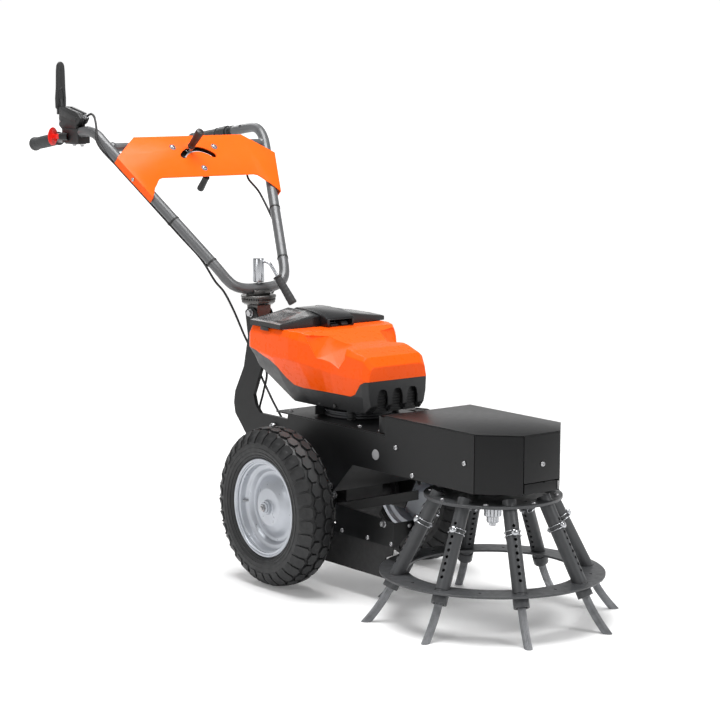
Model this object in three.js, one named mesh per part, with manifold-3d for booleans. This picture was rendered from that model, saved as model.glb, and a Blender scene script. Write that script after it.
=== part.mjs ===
// A walk-behind weed brush. A battery power unit sits on a two-wheeled steel chassis
// and turns, through a belt, a conical cage of eight wire-rope bundles that sweep
// weeds out of joints and gutters. The handlebar tilts and swivels on its post.
// Millimetres, +Z up, the machine works towards -Y, the operator's right hand is -X.
// The origin is on the ground, under the middle of the wheel axle.
import * as THREE from 'three';
import { mergeVertices } from 'three/addons/utils/BufferGeometryUtils.js';
import Module from 'manifold-3d';

const wasm = await Module();
wasm.setup();

// ---------------------------------------------------------------- driving dimensions
const GAP = 0.4;                    // clearance between touching pieces
const SHEET = 4;                    // chassis steel thickness

const TYRE_RADIUS = 200;
const TYRE_WIDTH = 104;
const RIM_RADIUS = 123.4;
const WHEEL_X = 231.6;

const PLATE_X = 135.2;              // outer faces of the chassis side plates
const FLOOR_Z = 320.9;              // underside of the belt box
const DECK_Z = 409.3;               // top edge of the side plates
const COVER_Z = 460.1;              // top of the belt cover
const COVER_BACK_Y = -307.6;
const CHAMFER_Y = -630.4;
const COVER_FRONT_Y = -712.5;
const COVER_NOSE_X = 56;

const BRUSH_Y = -546.6;             // vertical brush axis
const DISC_TOP_Z = 294.9;
const DISC_RADIUS = 163.3;
const RING_TOP_Z = 110.4;
const RING_OUTER = 266.8;
const RING_INNER = 200;
const TUBE_TOP_RADIUS = 137.5;      // where the tube axes cross the disc
const TUBE_LOW_RADIUS = 232.3;      // where they cross the ring
const TUBE_OUTER = 16.8;
const TUBE_INNER = 14.2;
const TUBE_COUNT = 8;
const TUBE_PHASE = THREE.MathUtils.degToRad(154);
const COLLAR_RADIUS = 18.5;
const COLLAR_LENGTH = 35;
const ROPE_RADIUS = 10;
const ROPE_TIP_RADIUS = 306.6;

const MOTOR_Y = -40;                // vertical motor axis
const PULLEY_Z = 352;               // underside of both pulleys
const MOTOR_PULLEY_RADIUS = 35;
const BRUSH_PULLEY_RADIUS = 70;

const POST_Y = 395;                 // vertical swivel axis of the handlebar
const TILT_Z = 629;                 // height of the lateral tilt pivot
const ROSETTE_Z = 667;              // contact plane of the toothed plates
const BAR_RADIUS = 14;
const BAR_WALL = 3;
const BAR_BOTTOM_Z = 694;
const GRIP_X = 267;

// The two straight legs of the handlebar lie in one sloped plane. A point in that plane
// is given by its sideways distance and its distance up the slope from LEG_FOOT.
const LEG_FOOT = new THREE.Vector3(0, 438.9, 760);
const LEG_UP = new THREE.Vector3(0, 294.5, 310).normalize();
const LEG_FRONT = new THREE.Vector3(0, -LEG_UP.z, LEG_UP.y);
const LEG_FOOT_X = 113.1;
const LEG_SPREAD = 0.3503;          // sideways growth for each millimetre up the slope
const PANEL_OFFSET = BAR_RADIUS + 1.2;
const PANEL_SHEET = 2.5;

const X_AXIS = new THREE.Vector3(1, 0, 0);
const Y_AXIS = new THREE.Vector3(0, 1, 0);
const Z_AXIS = new THREE.Vector3(0, 0, 1);

// ---------------------------------------------------------------- materials
function finish(color, roughness, metalness) {
  return () => new THREE.MeshStandardMaterial({ color, roughness, metalness });
}
const orangePlastic = finish(0xff6a22, 0.4, 0);
const orangePaint = finish(0xff7a30, 0.45, 0.1);
const blackPaint = finish(0x232425, 0.5, 0.3);
const blackPlastic = finish(0x2b2d2f, 0.55, 0);
const greyPaint = finish(0x7d8083, 0.45, 0.3);
const cagePaint = finish(0x55585a, 0.5, 0.3);
const silverPaint = finish(0xa5aab2, 0.35, 0.5);
const steel = finish(0x9b9da0, 0.35, 0.9);
const chrome = finish(0xd5d8dc, 0.12, 1);
const ropeSteel = finish(0x5f6266, 0.5, 0.8);
const tyreRubber = finish(0x27282a, 0.85, 0);
const softRubber = finish(0x1d1e1f, 0.8, 0);
const redPlastic = finish(0xe3231a, 0.4, 0);

// ---------------------------------------------------------------- geometry helpers
// A closed, outward-facing geometry that keeps only positions and an index.
function closed(geometry) {
  const bare = geometry.clone();
  bare.deleteAttribute('normal');
  bare.deleteAttribute('uv');
  const merged = mergeVertices(bare, 1e-3);
  const position = merged.attributes.position;
  const kept = [];
  let volume = 0;
  const a = new THREE.Vector3();
  const b = new THREE.Vector3();
  const c = new THREE.Vector3();
  for (let i = 0; i < merged.index.count; i += 3) {
    const [p, q, r] = [0, 1, 2].map((k) => merged.index.getX(i + k));
    if (p === q || q === r || r === p) continue;
    kept.push([p, q, r]);
    a.fromBufferAttribute(position, p);
    b.fromBufferAttribute(position, q);
    c.fromBufferAttribute(position, r);
    volume += a.dot(b.cross(c));
  }
  const outward = volume < 0 ? kept.map(([p, q, r]) => [p, r, q]) : kept;
  merged.setIndex(outward.flat());
  return merged;
}

function toSolid(geometry) {
  const body = closed(geometry);
  return new wasm.Manifold(new wasm.Mesh({
    numProp: 3,
    vertProperties: new Float32Array(body.attributes.position.array),
    triVerts: new Uint32Array(body.index.array),
  }));
}

function toGeometry(solid) {
  const mesh = solid.getMesh();
  const geometry = new THREE.BufferGeometry();
  geometry.setAttribute('position', new THREE.BufferAttribute(new Float32Array(mesh.vertProperties), 3));
  geometry.setIndex([...mesh.triVerts]);
  return geometry;
}

function union(...geometries) {
  return toGeometry(geometries.map(toSolid).reduce((all, next) => all.add(next)));
}

function cut(base, ...tools) {
  return toGeometry(tools.map(toSolid).reduce((left, tool) => left.subtract(tool), toSolid(base)));
}

function common(first, second) {
  return toGeometry(toSolid(first).intersect(toSolid(second)));
}

// A block given by its lowest and highest corners.
function block(low, high) {
  const size = high.map((value, i) => value - low[i]);
  const geometry = new THREE.BoxGeometry(...size);
  return geometry.translate(...high.map((value, i) => (value + low[i]) / 2));
}

// A cylinder whose axis starts at a point and runs along a direction.
function rod(radius, start, end, sides = 16, endRadius = radius) {
  const from = new THREE.Vector3(...start);
  const to = new THREE.Vector3(...end);
  const along = to.clone().sub(from);
  const geometry = new THREE.CylinderGeometry(endRadius, radius, along.length(), sides);
  const turn = new THREE.Quaternion().setFromUnitVectors(Y_AXIS, along.normalize());
  const middle = from.add(to).multiplyScalar(0.5);
  return geometry.applyQuaternion(turn).translate(middle.x, middle.y, middle.z);
}

// A closed profile of [radius, height] pairs turned about the vertical axis.
function turned(profile, sides = 32) {
  const points = profile.map(([radius, height]) => new THREE.Vector2(radius, height));
  return new THREE.LatheGeometry(points, sides).rotateX(Math.PI / 2);
}

function outlineShape(points) {
  return new THREE.Shape(points.map(([u, v]) => new THREE.Vector2(u, v)));
}

// An outline of [x, y] points raised from one height to another.
function flatPlate(points, lowZ, highZ, holes = []) {
  const shape = outlineShape(points);
  for (const [x, y, radius] of holes) {
    const hole = new THREE.Path();
    hole.absarc(x, y, radius, 0, 2 * Math.PI, true);
    shape.holes.push(hole);
  }
  const settings = { depth: highZ - lowZ, bevelEnabled: false, curveSegments: 12 };
  return new THREE.ExtrudeGeometry(shape, settings).translate(0, 0, lowZ);
}

// An outline of [y, z] points spread sideways between two x values.
function sidePlate(points, lowX, highX) {
  const geometry = new THREE.ExtrudeGeometry(outlineShape(points),
    { depth: highX - lowX, bevelEnabled: false });
  const turn = new THREE.Matrix4().makeBasis(Y_AXIS, Z_AXIS, X_AXIS);
  return geometry.applyMatrix4(turn).translate(lowX, 0, 0);
}

// An outline of [x, z] points spread lengthways between two y values.
function frontPlate(points, lowY, highY) {
  const geometry = new THREE.ExtrudeGeometry(outlineShape(points),
    { depth: highY - lowY, bevelEnabled: false });
  const turn = new THREE.Matrix4().makeBasis(X_AXIS, Z_AXIS, Y_AXIS.clone().negate());
  return geometry.applyMatrix4(turn).translate(0, highY, 0);
}

// A round bar that follows a smooth curve through the given points.
function bentBar(points, radius, steps, sides = 10) {
  const curve = new THREE.CatmullRomCurve3(points.map((point) => new THREE.Vector3(...point)),
    false, 'centripetal');
  const section = new THREE.Shape();
  section.absarc(0, 0, radius, 0, 2 * Math.PI, false);
  const settings = { steps, extrudePath: curve, curveSegments: sides / 2, bevelEnabled: false };
  return new THREE.ExtrudeGeometry(section, settings);
}

// Mirrors a list of [x, y, z] points to the other side and appends it in reverse.
function bothSides(points) {
  const other = points.filter(([x]) => x !== 0).map(([x, y, z]) => [-x, y, z]).reverse();
  return [...points, ...other];
}

function mirrored(geometry) {
  return geometry.clone().scale(-1, 1, 1);
}

const model = new THREE.Group();

function place(name, geometry, material, parent = model) {
  const mesh = new THREE.Mesh(closed(geometry), material());
  mesh.name = name;
  parent.add(mesh);
  return mesh;
}

// ---------------------------------------------------------------- chassis
const SIDE_OUTLINE = [
  [80.9, DECK_Z], [110, 260], [62, 158], [-60, 158], [-106, 241.7], [-184.7, FLOOR_Z],
  [CHAMFER_Y, FLOOR_Z], [CHAMFER_Y, COVER_Z - 3], [COVER_BACK_Y, COVER_Z - 3], [COVER_BACK_Y, DECK_Z],
];

function chassis() {
  const inside = PLATE_X - SHEET;
  const axleHole = rod(27, [-PLATE_X - 9, 0, TYRE_RADIUS], [PLATE_X + 9, 0, TYRE_RADIUS], 20);
  const right = cut(sidePlate(SIDE_OUTLINE, -PLATE_X, -inside), axleHole);
  place('side_plate_right', right, blackPaint);
  place('side_plate_left', mirrored(right), blackPaint);

  const deck = flatPlate(
    [[-PLATE_X, 131], [-PLATE_X, COVER_BACK_Y + 2], [PLATE_X, COVER_BACK_Y + 2], [PLATE_X, 131]],
    DECK_Z + GAP, DECK_Z + SHEET, [[0, MOTOR_Y, 32]],
  );
  place('motor_deck', deck, blackPaint);

  // One bent sheet: level under the belt box, then sloping down in front of the axle.
  const floorX = inside - GAP;
  const floorProfile = [
    [CHAMFER_Y + 1, FLOOR_Z], [-184.7, FLOOR_Z], [-106, 241.7], [-103.2, 244.5], [-183.5, FLOOR_Z + SHEET],
    [CHAMFER_Y + 1, FLOOR_Z + SHEET],
  ];
  const nose = [
    [-floorX, CHAMFER_Y + 2], [-COVER_NOSE_X, COVER_FRONT_Y + 5], [COVER_NOSE_X, COVER_FRONT_Y + 5],
    [floorX, CHAMFER_Y + 2],
  ];
  const bearingHole = rod(36, [0, BRUSH_Y, 300], [0, BRUSH_Y, 340], 24);
  const floor = cut(
    union(sidePlate(floorProfile, -floorX, floorX), flatPlate(nose, FLOOR_Z, FLOOR_Z + SHEET)),
    bearingHole,
  );
  place('belt_floor', floor, blackPaint);

  // The cover wraps the nose and lies over the side plates.
  const coverPlan = [
    [-PLATE_X, COVER_BACK_Y], [-PLATE_X, CHAMFER_Y - GAP], [-COVER_NOSE_X, COVER_FRONT_Y],
    [COVER_NOSE_X, COVER_FRONT_Y], [PLATE_X, CHAMFER_Y - GAP], [PLATE_X, COVER_BACK_Y],
  ];
  const hollowPlan = [
    [-PLATE_X - 9, COVER_BACK_Y - 3], [-PLATE_X - 9, CHAMFER_Y - GAP], [-PLATE_X + 3.2, CHAMFER_Y - GAP],
    [-COVER_NOSE_X + 1, COVER_FRONT_Y + 3], [COVER_NOSE_X - 1, COVER_FRONT_Y + 3],
    [PLATE_X - 3.2, CHAMFER_Y - GAP], [PLATE_X + 9, CHAMFER_Y - GAP], [PLATE_X + 9, COVER_BACK_Y - 3],
  ];
  const cover = cut(
    flatPlate(coverPlan, FLOOR_Z, COVER_Z),
    flatPlate(hollowPlan, FLOOR_Z - 1, COVER_Z - 3 + GAP),
    block([-PLATE_X - 9, COVER_BACK_Y - 4, FLOOR_Z - 1],
      [PLATE_X + 9, COVER_BACK_Y + 1, DECK_Z + SHEET + GAP]),
    block([-PLATE_X - 9, COVER_BACK_Y - 4, FLOOR_Z - 1],
      [-PLATE_X + SHEET + GAP, COVER_BACK_Y + 1, COVER_Z - 3 + GAP]),
    block([PLATE_X - SHEET - GAP, COVER_BACK_Y - 4, FLOOR_Z - 1],
      [PLATE_X + 9, COVER_BACK_Y + 1, COVER_Z - 3 + GAP]),
  );
  place('belt_cover', cover, blackPaint);
}

function transaxle() {
  const housing = sidePlate([[-62, 170], [-40, 140], [40, 140], [66, 175], [66, 255], [30, 278],
    [-40, 278], [-62, 250]], -58, 58);
  const tube = rod(25, [-172, 0, TYRE_RADIUS], [172, 0, TYRE_RADIUS], 20);
  const flanges = [-1, 1].map((side) => rod(42, [side * 118, 0, TYRE_RADIUS],
    [side * 130, 0, TYRE_RADIUS], 20));
  place('transaxle', union(housing, tube, ...flanges), blackPaint);
}

function debrisGuard() {
  const inner = -PLATE_X + 2;
  const face = sidePlate([[-112, 143.6], [-112, 215], [-345, 205], [-345, 143.6]], -PLATE_X - 1, inner);
  const topFlange = flatPlate([[inner - 1, -112], [inner - 1, -300], [inner + 26, -112]], 200, 203);
  // The flange's lower edge slopes to stay outside the cone that the brush tubes sweep.
  const flangeOutline = [
    [inner - 1, 203], [inner + 69, 203], [inner + 69, 194], [inner + 8, 143.6], [inner - 1, 143.6],
  ];
  const frontFlange = frontPlate(flangeOutline, -345, -342);
  const crossBar = block([inner - 1, -118, 190], [PLATE_X - SHEET - GAP, -112, 214]);
  const bracket = union(face, topFlange, frontFlange, crossBar);
  const trimmed = cut(bracket, block([-PLATE_X - 4, -118.5, 158], [-PLATE_X + SHEET + GAP, -60, 250]));
  place('flap_bracket', trimmed, blackPaint);

  const flapOutline = [
    [-52, 61], [-52, 148], [-105, 162], [-340, 162], [-340, 141], [-336, 123], [-311, 113], [-304, 61],
  ];
  const flap = sidePlate(flapOutline, inner + GAP, inner + GAP + 4);
  place('debris_flap', flap, softRubber);
}

// ---------------------------------------------------------------- handlebar post
const ARM_HALF = 27;
const EAR_INNER = 23;
const ARM_PLATE = 10;                // thickness of the single plate below the ears
const EAR_BOTTOM_Z = 548;

function handleArm() {
  const outer = [
    [78, 366], [309.9, 366], [352, 366], [372, 385], [381.5, 412], [342, 497], [333, 560], [352, 606],
    [372, 638], [384, 644], [402, 644], [418, 632], [406, 565], [426, 481.5], [466, 412], [472, 380],
    [466, 352],
    [411.6, 296.7], [330, 216], [78, 190],
  ];
  const hollow = [
    [60, 361], [350, 361], [368, 380], [377, 388], [386, 412], [347, 497], [339, 560], [345, 600],
    [401, 600], [401, 565], [421, 480], [461, 411], [467, 380], [461, 354],
    [409, 302], [328, 221], [60, 195],
  ];
  const body = cut(
    sidePlate(outer, -ARM_HALF, ARM_HALF),
    sidePlate(hollow, -EAR_INNER, EAR_INNER),
    sidePlate([[300, 604], [300, 700], [450, 700], [450, 604]], -EAR_INNER, EAR_INNER),
    rod(6.6, [-40, POST_Y - 2, TILT_Z], [40, POST_Y - 2, TILT_Z], 12),
    block([-ARM_HALF + ARM_PLATE, 81, 100], [ARM_HALF + 3, 500, EAR_BOTTOM_Z]),
  );
  const foot = block([-PLATE_X + SHEET + GAP, 74, 300], [PLATE_X - SHEET - GAP, 80, 366]);
  place('handle_arm', union(body, foot), blackPaint);
}

function swivelPost() {
  const y = POST_Y;
  const tongue = sidePlate(
    [[y - 24, 612], [y + 20, 612], [y + 22, 650], [y - 26, 650]], -EAR_INNER + 1.2, EAR_INNER - 1.2,
  );
  const dish = turned([[0, 651], [38, 651], [45, 657], [46.5, 666.6], [0, 666.6]], 24).translate(0, y, 0);
  const neck = block([-14, y - 20, 645], [14, y + 18, 655]);
  const pin = rod(6, [-36, y - 2, TILT_Z], [36, y - 2, TILT_Z], 12);
  const pinHeads = [-1, 1].map((side) => rod(10, [side * 28.2, y - 2, TILT_Z],
    [side * 36, y - 2, TILT_Z], 6));
  const bore = rod(7, [0, y, 630], [0, y, 680], 12);
  place('swivel_base', union(cut(union(tongue, dish, neck), bore), pin, ...pinHeads), blackPaint);
}

function swivelHead(parent) {
  const y = POST_Y;
  const plate = turned([[0, ROSETTE_Z], [47, ROSETTE_Z], [47, ROSETTE_Z + 6], [0, ROSETTE_Z + 6]],
    24).translate(0, y, 0);
  const saddle = block([-24, y - 17, ROSETTE_Z + 5], [24, y + 20, ROSETTE_Z + 26]);
  const tubeSeat = rod(BAR_RADIUS + 1, [-40, y + 1, BAR_BOTTOM_Z], [40, y + 1, BAR_BOTTOM_Z], 16);
  const bore = rod(7, [0, y, ROSETTE_Z - 5], [0, y, ROSETTE_Z + 40], 12);
  place('swivel_head', cut(union(plate, saddle), tubeSeat, bore), blackPaint, parent);
}

function clampCrank(parent) {
  const y = POST_Y;
  const top = 773.5;
  const cylinder = rod(15, [0, y, 710], [0, y, top], 20);
  const stud = rod(5.4, [0, y, 640], [0, y, 714], 10);
  const arm = bentBar([
    [0, y, 764], [10, y - 16, 765], [18, y - 32, 758], [24, y - 42.5, 738], [27, y - 47.5, 728],
    [32.5, y - 57, 711],
  ], 4, 14, 8);
  place('clamp_crank', union(cylinder, stud, arm), chrome, parent);
  const start = new THREE.Vector3(27, y - 47.5, 728);
  const tip = new THREE.Vector3(50, y - 87, 657);
  const along = tip.clone().sub(start);
  const axis = (part) => start.clone().addScaledVector(along, part).toArray();
  const bore = rod(5, axis(-0.1), axis(0.35), 10);
  const sleeve = rod(9.8, start.toArray(), tip.toArray(), 14, 11.5);
  place('crank_grip', cut(sleeve, bore), blackPlastic, parent);
}

// ---------------------------------------------------------------- handlebar
function onLegs(x, up, front = 0) {
  return LEG_FOOT.clone().addScaledVector(LEG_UP, up).addScaledVector(LEG_FRONT, front).setX(x);
}

// Places an outline drawn in the plane of the legs and thickens it towards the front.
function onPanel(points, from, depth, holes = []) {
  const shape = outlineShape(points);
  shape.holes.push(...holes);
  const geometry = new THREE.ExtrudeGeometry(shape, { depth, bevelEnabled: false, curveSegments: 10 });
  const basis = new THREE.Matrix4().makeBasis(X_AXIS, LEG_UP, LEG_FRONT);
  return geometry.translate(0, 0, from).applyMatrix4(basis).translate(...LEG_FOOT.toArray());
}

const BAR_PATH = [
  [-267, 1088, 1056.5], [-267, 964, 1075.5], [-269, 880, 1089], [-272, 824, 1098], [-272.5, 790, 1100],
  [-269, 762, 1092], [-262.9, 733.4, 1070], [-220, 648.9, 981.4], [-170, 550.5, 877.9],
  [-113.1, 438.9, 760],
  [-104, 421.5, 740.5], [-94, 408, 722], [-78, 399.5, 706], [-56, 396, 697.5],
  [-30, POST_Y + 1, BAR_BOTTOM_Z],
  [0, POST_Y + 1, BAR_BOTTOM_Z],
];

function handlebarFrame(parent) {
  const crossUp = 413;
  const crossX = LEG_FOOT_X + LEG_SPREAD * crossUp;
  const cross = rod(12, onLegs(-crossX, crossUp).toArray(), onLegs(crossX, crossUp).toArray(), 12);
  const bore = rod(6, [0, POST_Y, 670], [0, POST_Y, 720], 10);
  const ends = [[-267, 1100, 1054.7], [267, 1100, 1054.7]];
  const inside = bentBar([ends[0], ...bothSides(BAR_PATH), ends[1]], BAR_RADIUS - BAR_WALL, 44, 6);
  const bar = bentBar(bothSides(BAR_PATH), BAR_RADIUS, 56, 10);
  place('handlebar_tube', cut(union(bar, cross), bore, inside), greyPaint, parent);
}

const SHIFT_PIVOT_UP = 318;
const SLOT_INNER = 57;
const SLOT_OUTER = 73;

function kidneySlot() {
  const slot = new THREE.Path();
  const half = THREE.MathUtils.degToRad(50);
  const up = Math.PI / 2;
  slot.absarc(0, SHIFT_PIVOT_UP, SLOT_OUTER, up - half, up + half, false);
  slot.absarc(0, SHIFT_PIVOT_UP, SLOT_INNER, up + half, up - half, true);
  slot.closePath();
  return slot;
}

function controlPanel(parent) {
  const fold = 19.5;
  const edgeX = (up) => LEG_FOOT_X + LEG_SPREAD * up + fold;
  const half = [[-177, 432], [-edgeX(362), 362], [-edgeX(221), 221], [-186, 257], [-155, 286]];
  const outline = [...half, ...half.map(([x, up]) => [-x, up]).reverse()];
  const sheet = onPanel(outline, PANEL_OFFSET, PANEL_SHEET, [kidneySlot()]);
  const foldOutline = [
    [-edgeX(362), 362], [-edgeX(221), 221], [-edgeX(221) + PANEL_SHEET, 221],
    [-edgeX(362) + PANEL_SHEET, 362],
  ];
  const flange = onPanel(foldOutline, PANEL_OFFSET - 22, 23);
  place('control_panel', union(sheet, flange, mirrored(flange)), orangePaint, parent);
}

function grips(parent) {
  const start = new THREE.Vector3(-GRIP_X, 962, 1075.8);
  const end = new THREE.Vector3(-GRIP_X, 1097, 1055.2);
  const along = end.clone().sub(start).normalize();
  const sleeve = rod(17, start.toArray(), end.toArray(), 16);
  const rim = rod(19.5, end.clone().addScaledVector(along, -10).toArray(), end.toArray(), 16);
  const hole = rod(
    BAR_RADIUS + 0.7, start.clone().addScaledVector(along, -5).toArray(),
    new THREE.Vector3(-GRIP_X, 1088, 1056.5).addScaledVector(along, 0.6).toArray(), 16,
  );
  const grip = cut(union(sleeve, rim), hole);
  place('grip_right', grip, softRubber, parent);
  place('grip_left', mirrored(grip), softRubber, parent);
}

const PERCH_Y = 905;
const LEVER_PIVOT = [PERCH_Y + 25, 1124];

const LATCH_HUB = new THREE.Vector3(-309, 929, 1083.5);
const LATCH_FACING = new THREE.Vector3(-0.45, 0.893, 0).normalize();

function latchRod(radius, near, far, sides) {
  const end = (distance) => LATCH_HUB.clone().addScaledVector(LATCH_FACING, -distance).toArray();
  return rod(radius, end(near), end(far), sides);
}

function perches(parent) {
  const x = -GRIP_X;
  const head = sidePlate([[PERCH_Y - 85, 1134], [PERCH_Y - 73, 1121], [PERCH_Y - 60, 1100],
    [PERCH_Y + 12, 1100],
    [PERCH_Y + 34, 1112], [PERCH_Y + 30, 1166], [PERCH_Y + 2, 1166], [PERCH_Y - 70, 1149]], x - 17, x + 14);
  const clampBlock = block([x - 19, PERCH_Y - 73, 1063], [x + 21, PERCH_Y + 12, 1110]);
  const lugs = latchRod(10, 27, 50, 12);
  const bore = bentBar(BAR_PATH.slice(0, 7), BAR_RADIUS + 0.8, 24, 12);
  const leverSlot = block([x - 9, PERCH_Y + 8, 1100], [x + 6, PERCH_Y + 60, 1180]);
  const right = cut(union(head, clampBlock, lugs), bore, latchRod(6.8, 20, 43, 10), leverSlot);
  place('lever_perch_right', right, blackPlastic, parent);

  const left = cut(block([-x - 21, PERCH_Y + 8, 1061], [-x + 21, PERCH_Y + 50, 1104]), mirrored(bore));
  place('lever_perch_left', left, blackPlastic, parent);
}

function handLevers(parent) {
  const [pivotY, pivotZ] = LEVER_PIVOT;
  const broad = sidePlate(
    [[pivotY + 12, pivotZ + 28], [pivotY + 22, pivotZ + 24], [pivotY + 21, pivotZ + 150],
    [pivotY + 18, pivotZ + 163],
      [pivotY + 12, pivotZ + 161], [pivotY + 11, pivotZ + 100]],
    -GRIP_X - 15, -GRIP_X + 12,
  );
  const tongue = sidePlate(
    [[pivotY - 8, pivotZ - 6], [pivotY + 8, pivotZ - 8], [pivotY + 20, pivotZ + 22],
    [pivotY + 21, pivotZ + 60],
      [pivotY + 12, pivotZ + 60], [pivotY + 8, pivotZ + 16], [pivotY - 8, pivotZ + 8]],
    -GRIP_X - 7, -GRIP_X + 4,
  );
  const blade = union(broad, tongue);
  place('drive_lever', blade, blackPlastic, parent);

  const brake = sidePlate(
    [[PERCH_Y + 51, 1055.5], [PERCH_Y + 51, 1043], [PERCH_Y + 150, 1012], [PERCH_Y + 176, 1015],
    [PERCH_Y + 150, 1025],
      [PERCH_Y + 70, 1048]],
    GRIP_X - 7, GRIP_X + 7,
  );
  const hook = sidePlate(
    [[PERCH_Y + 14, 1043], [PERCH_Y + 52, 1043], [PERCH_Y + 52, 1055.5], [PERCH_Y + 34, 1059],
    [PERCH_Y + 14, 1059]],
    GRIP_X - 7, GRIP_X + 7,
  );
  place('brake_lever', union(brake, hook), blackPlastic, parent);

  place('safety_latch', union(latchRod(25, -3, 3, 20), latchRod(6, 0, 34, 10)), redPlastic, parent);
}

function panelLevers(parent) {
  const leverX = -21;
  const leverUp = 381;
  const pivot = (front) => onLegs(0, SHIFT_PIVOT_UP, front).toArray();
  const arm = onPanel(
    [[-8, SHIFT_PIVOT_UP - 6], [8, SHIFT_PIVOT_UP - 8], [leverX + 7, leverUp + 4],
    [leverX - 7, leverUp + 1]],
    PANEL_OFFSET - 6, 5,
  );
  const stub = rod(6, onLegs(leverX, leverUp, PANEL_OFFSET - 5).toArray(),
    onLegs(leverX, leverUp, 44).toArray(), 10);
  const knob = rod(10, onLegs(leverX, leverUp, 42).toArray(), onLegs(leverX, leverUp, 96).toArray(),
    14, 11.5);
  const boss = rod(9, pivot(PANEL_OFFSET - 14), pivot(PANEL_OFFSET - 1), 12);
  place('shift_lever', union(arm, stub, knob, boss), blackPlastic, parent);

  const rear = rod(5, onLegs(36, 330, 12.5).toArray(), onLegs(36, 326, -40).toArray(), 10);
  const rearGrip = rod(10, onLegs(36, 326.5, -34).toArray(), onLegs(36, 322, -84).toArray(), 12);
  place('speed_lever', union(rear, rearGrip), blackPlastic, parent);
}

// The two control cables leave their levers, follow the legs down and enter the chassis.
const CABLE_RADIUS = 3;

// A cable point held against the rear of a leg, at a distance up the slope.
function alongLeg(side, up) {
  return onLegs(side * (LEG_FOOT_X + LEG_SPREAD * up + 5), up, -17.4).toArray();
}

const CABLE_RIGHT = [
  [-266, 815, 1140], [-264, 800, 1147], [-266, 780, 1141], [-276, 752, 1112], [-284, 735, 1072],
  alongLeg(-1, 360), alongLeg(-1, 290), alongLeg(-1, 200), alongLeg(-1, 110), alongLeg(-1, 30),
  [-104, 445, 713], [-76, 447, 685], [-46, 444, 632], [-8, 446, 558], [12, 443, 522], [27, 414, 490],
  [29, 398, 462], [16, 396, 412], [2, 394, 362], [-4, 350, 305], [2, 240, 262], [8, 130, 240], [8, 71, 236],
];
const CABLE_LEFT = [
  [267, 908, 1052], [262, 872, 1046], [256, 825, 1043], [247, 775, 1038],
  onLegs(228, 392, -34).toArray(), onLegs(186, 348, -32).toArray(), onLegs(163, 309, -26).toArray(),
  onLegs(173, 262, -24).toArray(), onLegs(174, 215, -24).toArray(), onLegs(170, 172, -22).toArray(),
  alongLeg(1, 125), alongLeg(1, 40), [100, 442, 702], [66, 444, 655], [30, 444, 618], [9, 438, 575],
  [1, 414, 515], [-7, 380, 470], [-6, 345, 425], [0, 311, 378],
  [12, 268, 325], [24, 190, 285], [30, 120, 262], [30, 71, 250],
];

function cables() {
  place('control_cable_right', bentBar(CABLE_RIGHT, CABLE_RADIUS, 52, 6), softRubber);
  place('control_cable_left', bentBar(CABLE_LEFT, CABLE_RADIUS, 48, 6), softRubber);
}

// ---------------------------------------------------------------- power unit
// Stations along the machine: y, then half widths at five heights, then those heights.
const BODY_STATIONS = [
  { y: -188, half: [80, 88, 90, 88, 80], z: [548, 535, 510, 480, 462] },
  { y: -160, half: [84, 97, 99, 95, 84], z: [588, 566, 520, 480, 437] },
  { y: -65, half: [94, 108, 112, 106, 88], z: [598, 575, 530, 480, 437] },
  { y: -20, half: [118, 136, 138, 113, 92], z: [612, 592, 545, 480, 437] },
  { y: 40, half: [156, 164, 164, 118, 95], z: [628, 612, 556, 482, 437] },
  { y: 105, half: [158, 168, 168, 126, 96], z: [628, 610, 556, 482, 437] },
  { y: 212, half: [156, 166, 167, 150, 140], z: [628, 608, 572, 545, 520] },
];

// Joins the stations into one closed body; inset shrinks it on every side.
function bodyLoft(inset) {
  const rings = BODY_STATIONS.map(({ y, half, z }, index) => {
    const inward = (index === 0 ? inset : 0) - (index === BODY_STATIONS.length - 1 ? inset : 0);
    const heights = z.map((value, i) => value - (i === 0 ? inset : 0) + (i === z.length - 1 ? inset : 0));
    const right = half.map((value, i) => [value - inset, y + inward, heights[i]]);
    return [...right, ...right.map(([x, yy, zz]) => [-x, yy, zz]).reverse()];
  });
  const count = rings[0].length;
  const vertices = rings.flat();
  const faces = [];
  for (let s = 0; s + 1 < rings.length; s += 1) {
    for (let i = 0; i < count; i += 1) {
      const a = s * count + i;
      const b = s * count + ((i + 1) % count);
      faces.push([a, b, b + count], [a, b + count, a + count]);
    }
  }
  for (let i = 1; i + 1 < count; i += 1) {
    const last = (rings.length - 1) * count;
    faces.push([0, i + 1, i], [last, last + i, last + i + 1]);
  }
  const geometry = new THREE.BufferGeometry();
  geometry.setAttribute('position', new THREE.Float32BufferAttribute(vertices.flat(), 3));
  geometry.setIndex(faces.flat());
  return geometry;
}

// The seam between the orange shell and the dark base, from back to front.
const SEAM = [[230, 578], [149, 554], [108, 543], [88, 505], [68, 482], [-130, 479], [-158, 498],
  [-172, 519], [-200, 523]];

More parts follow.
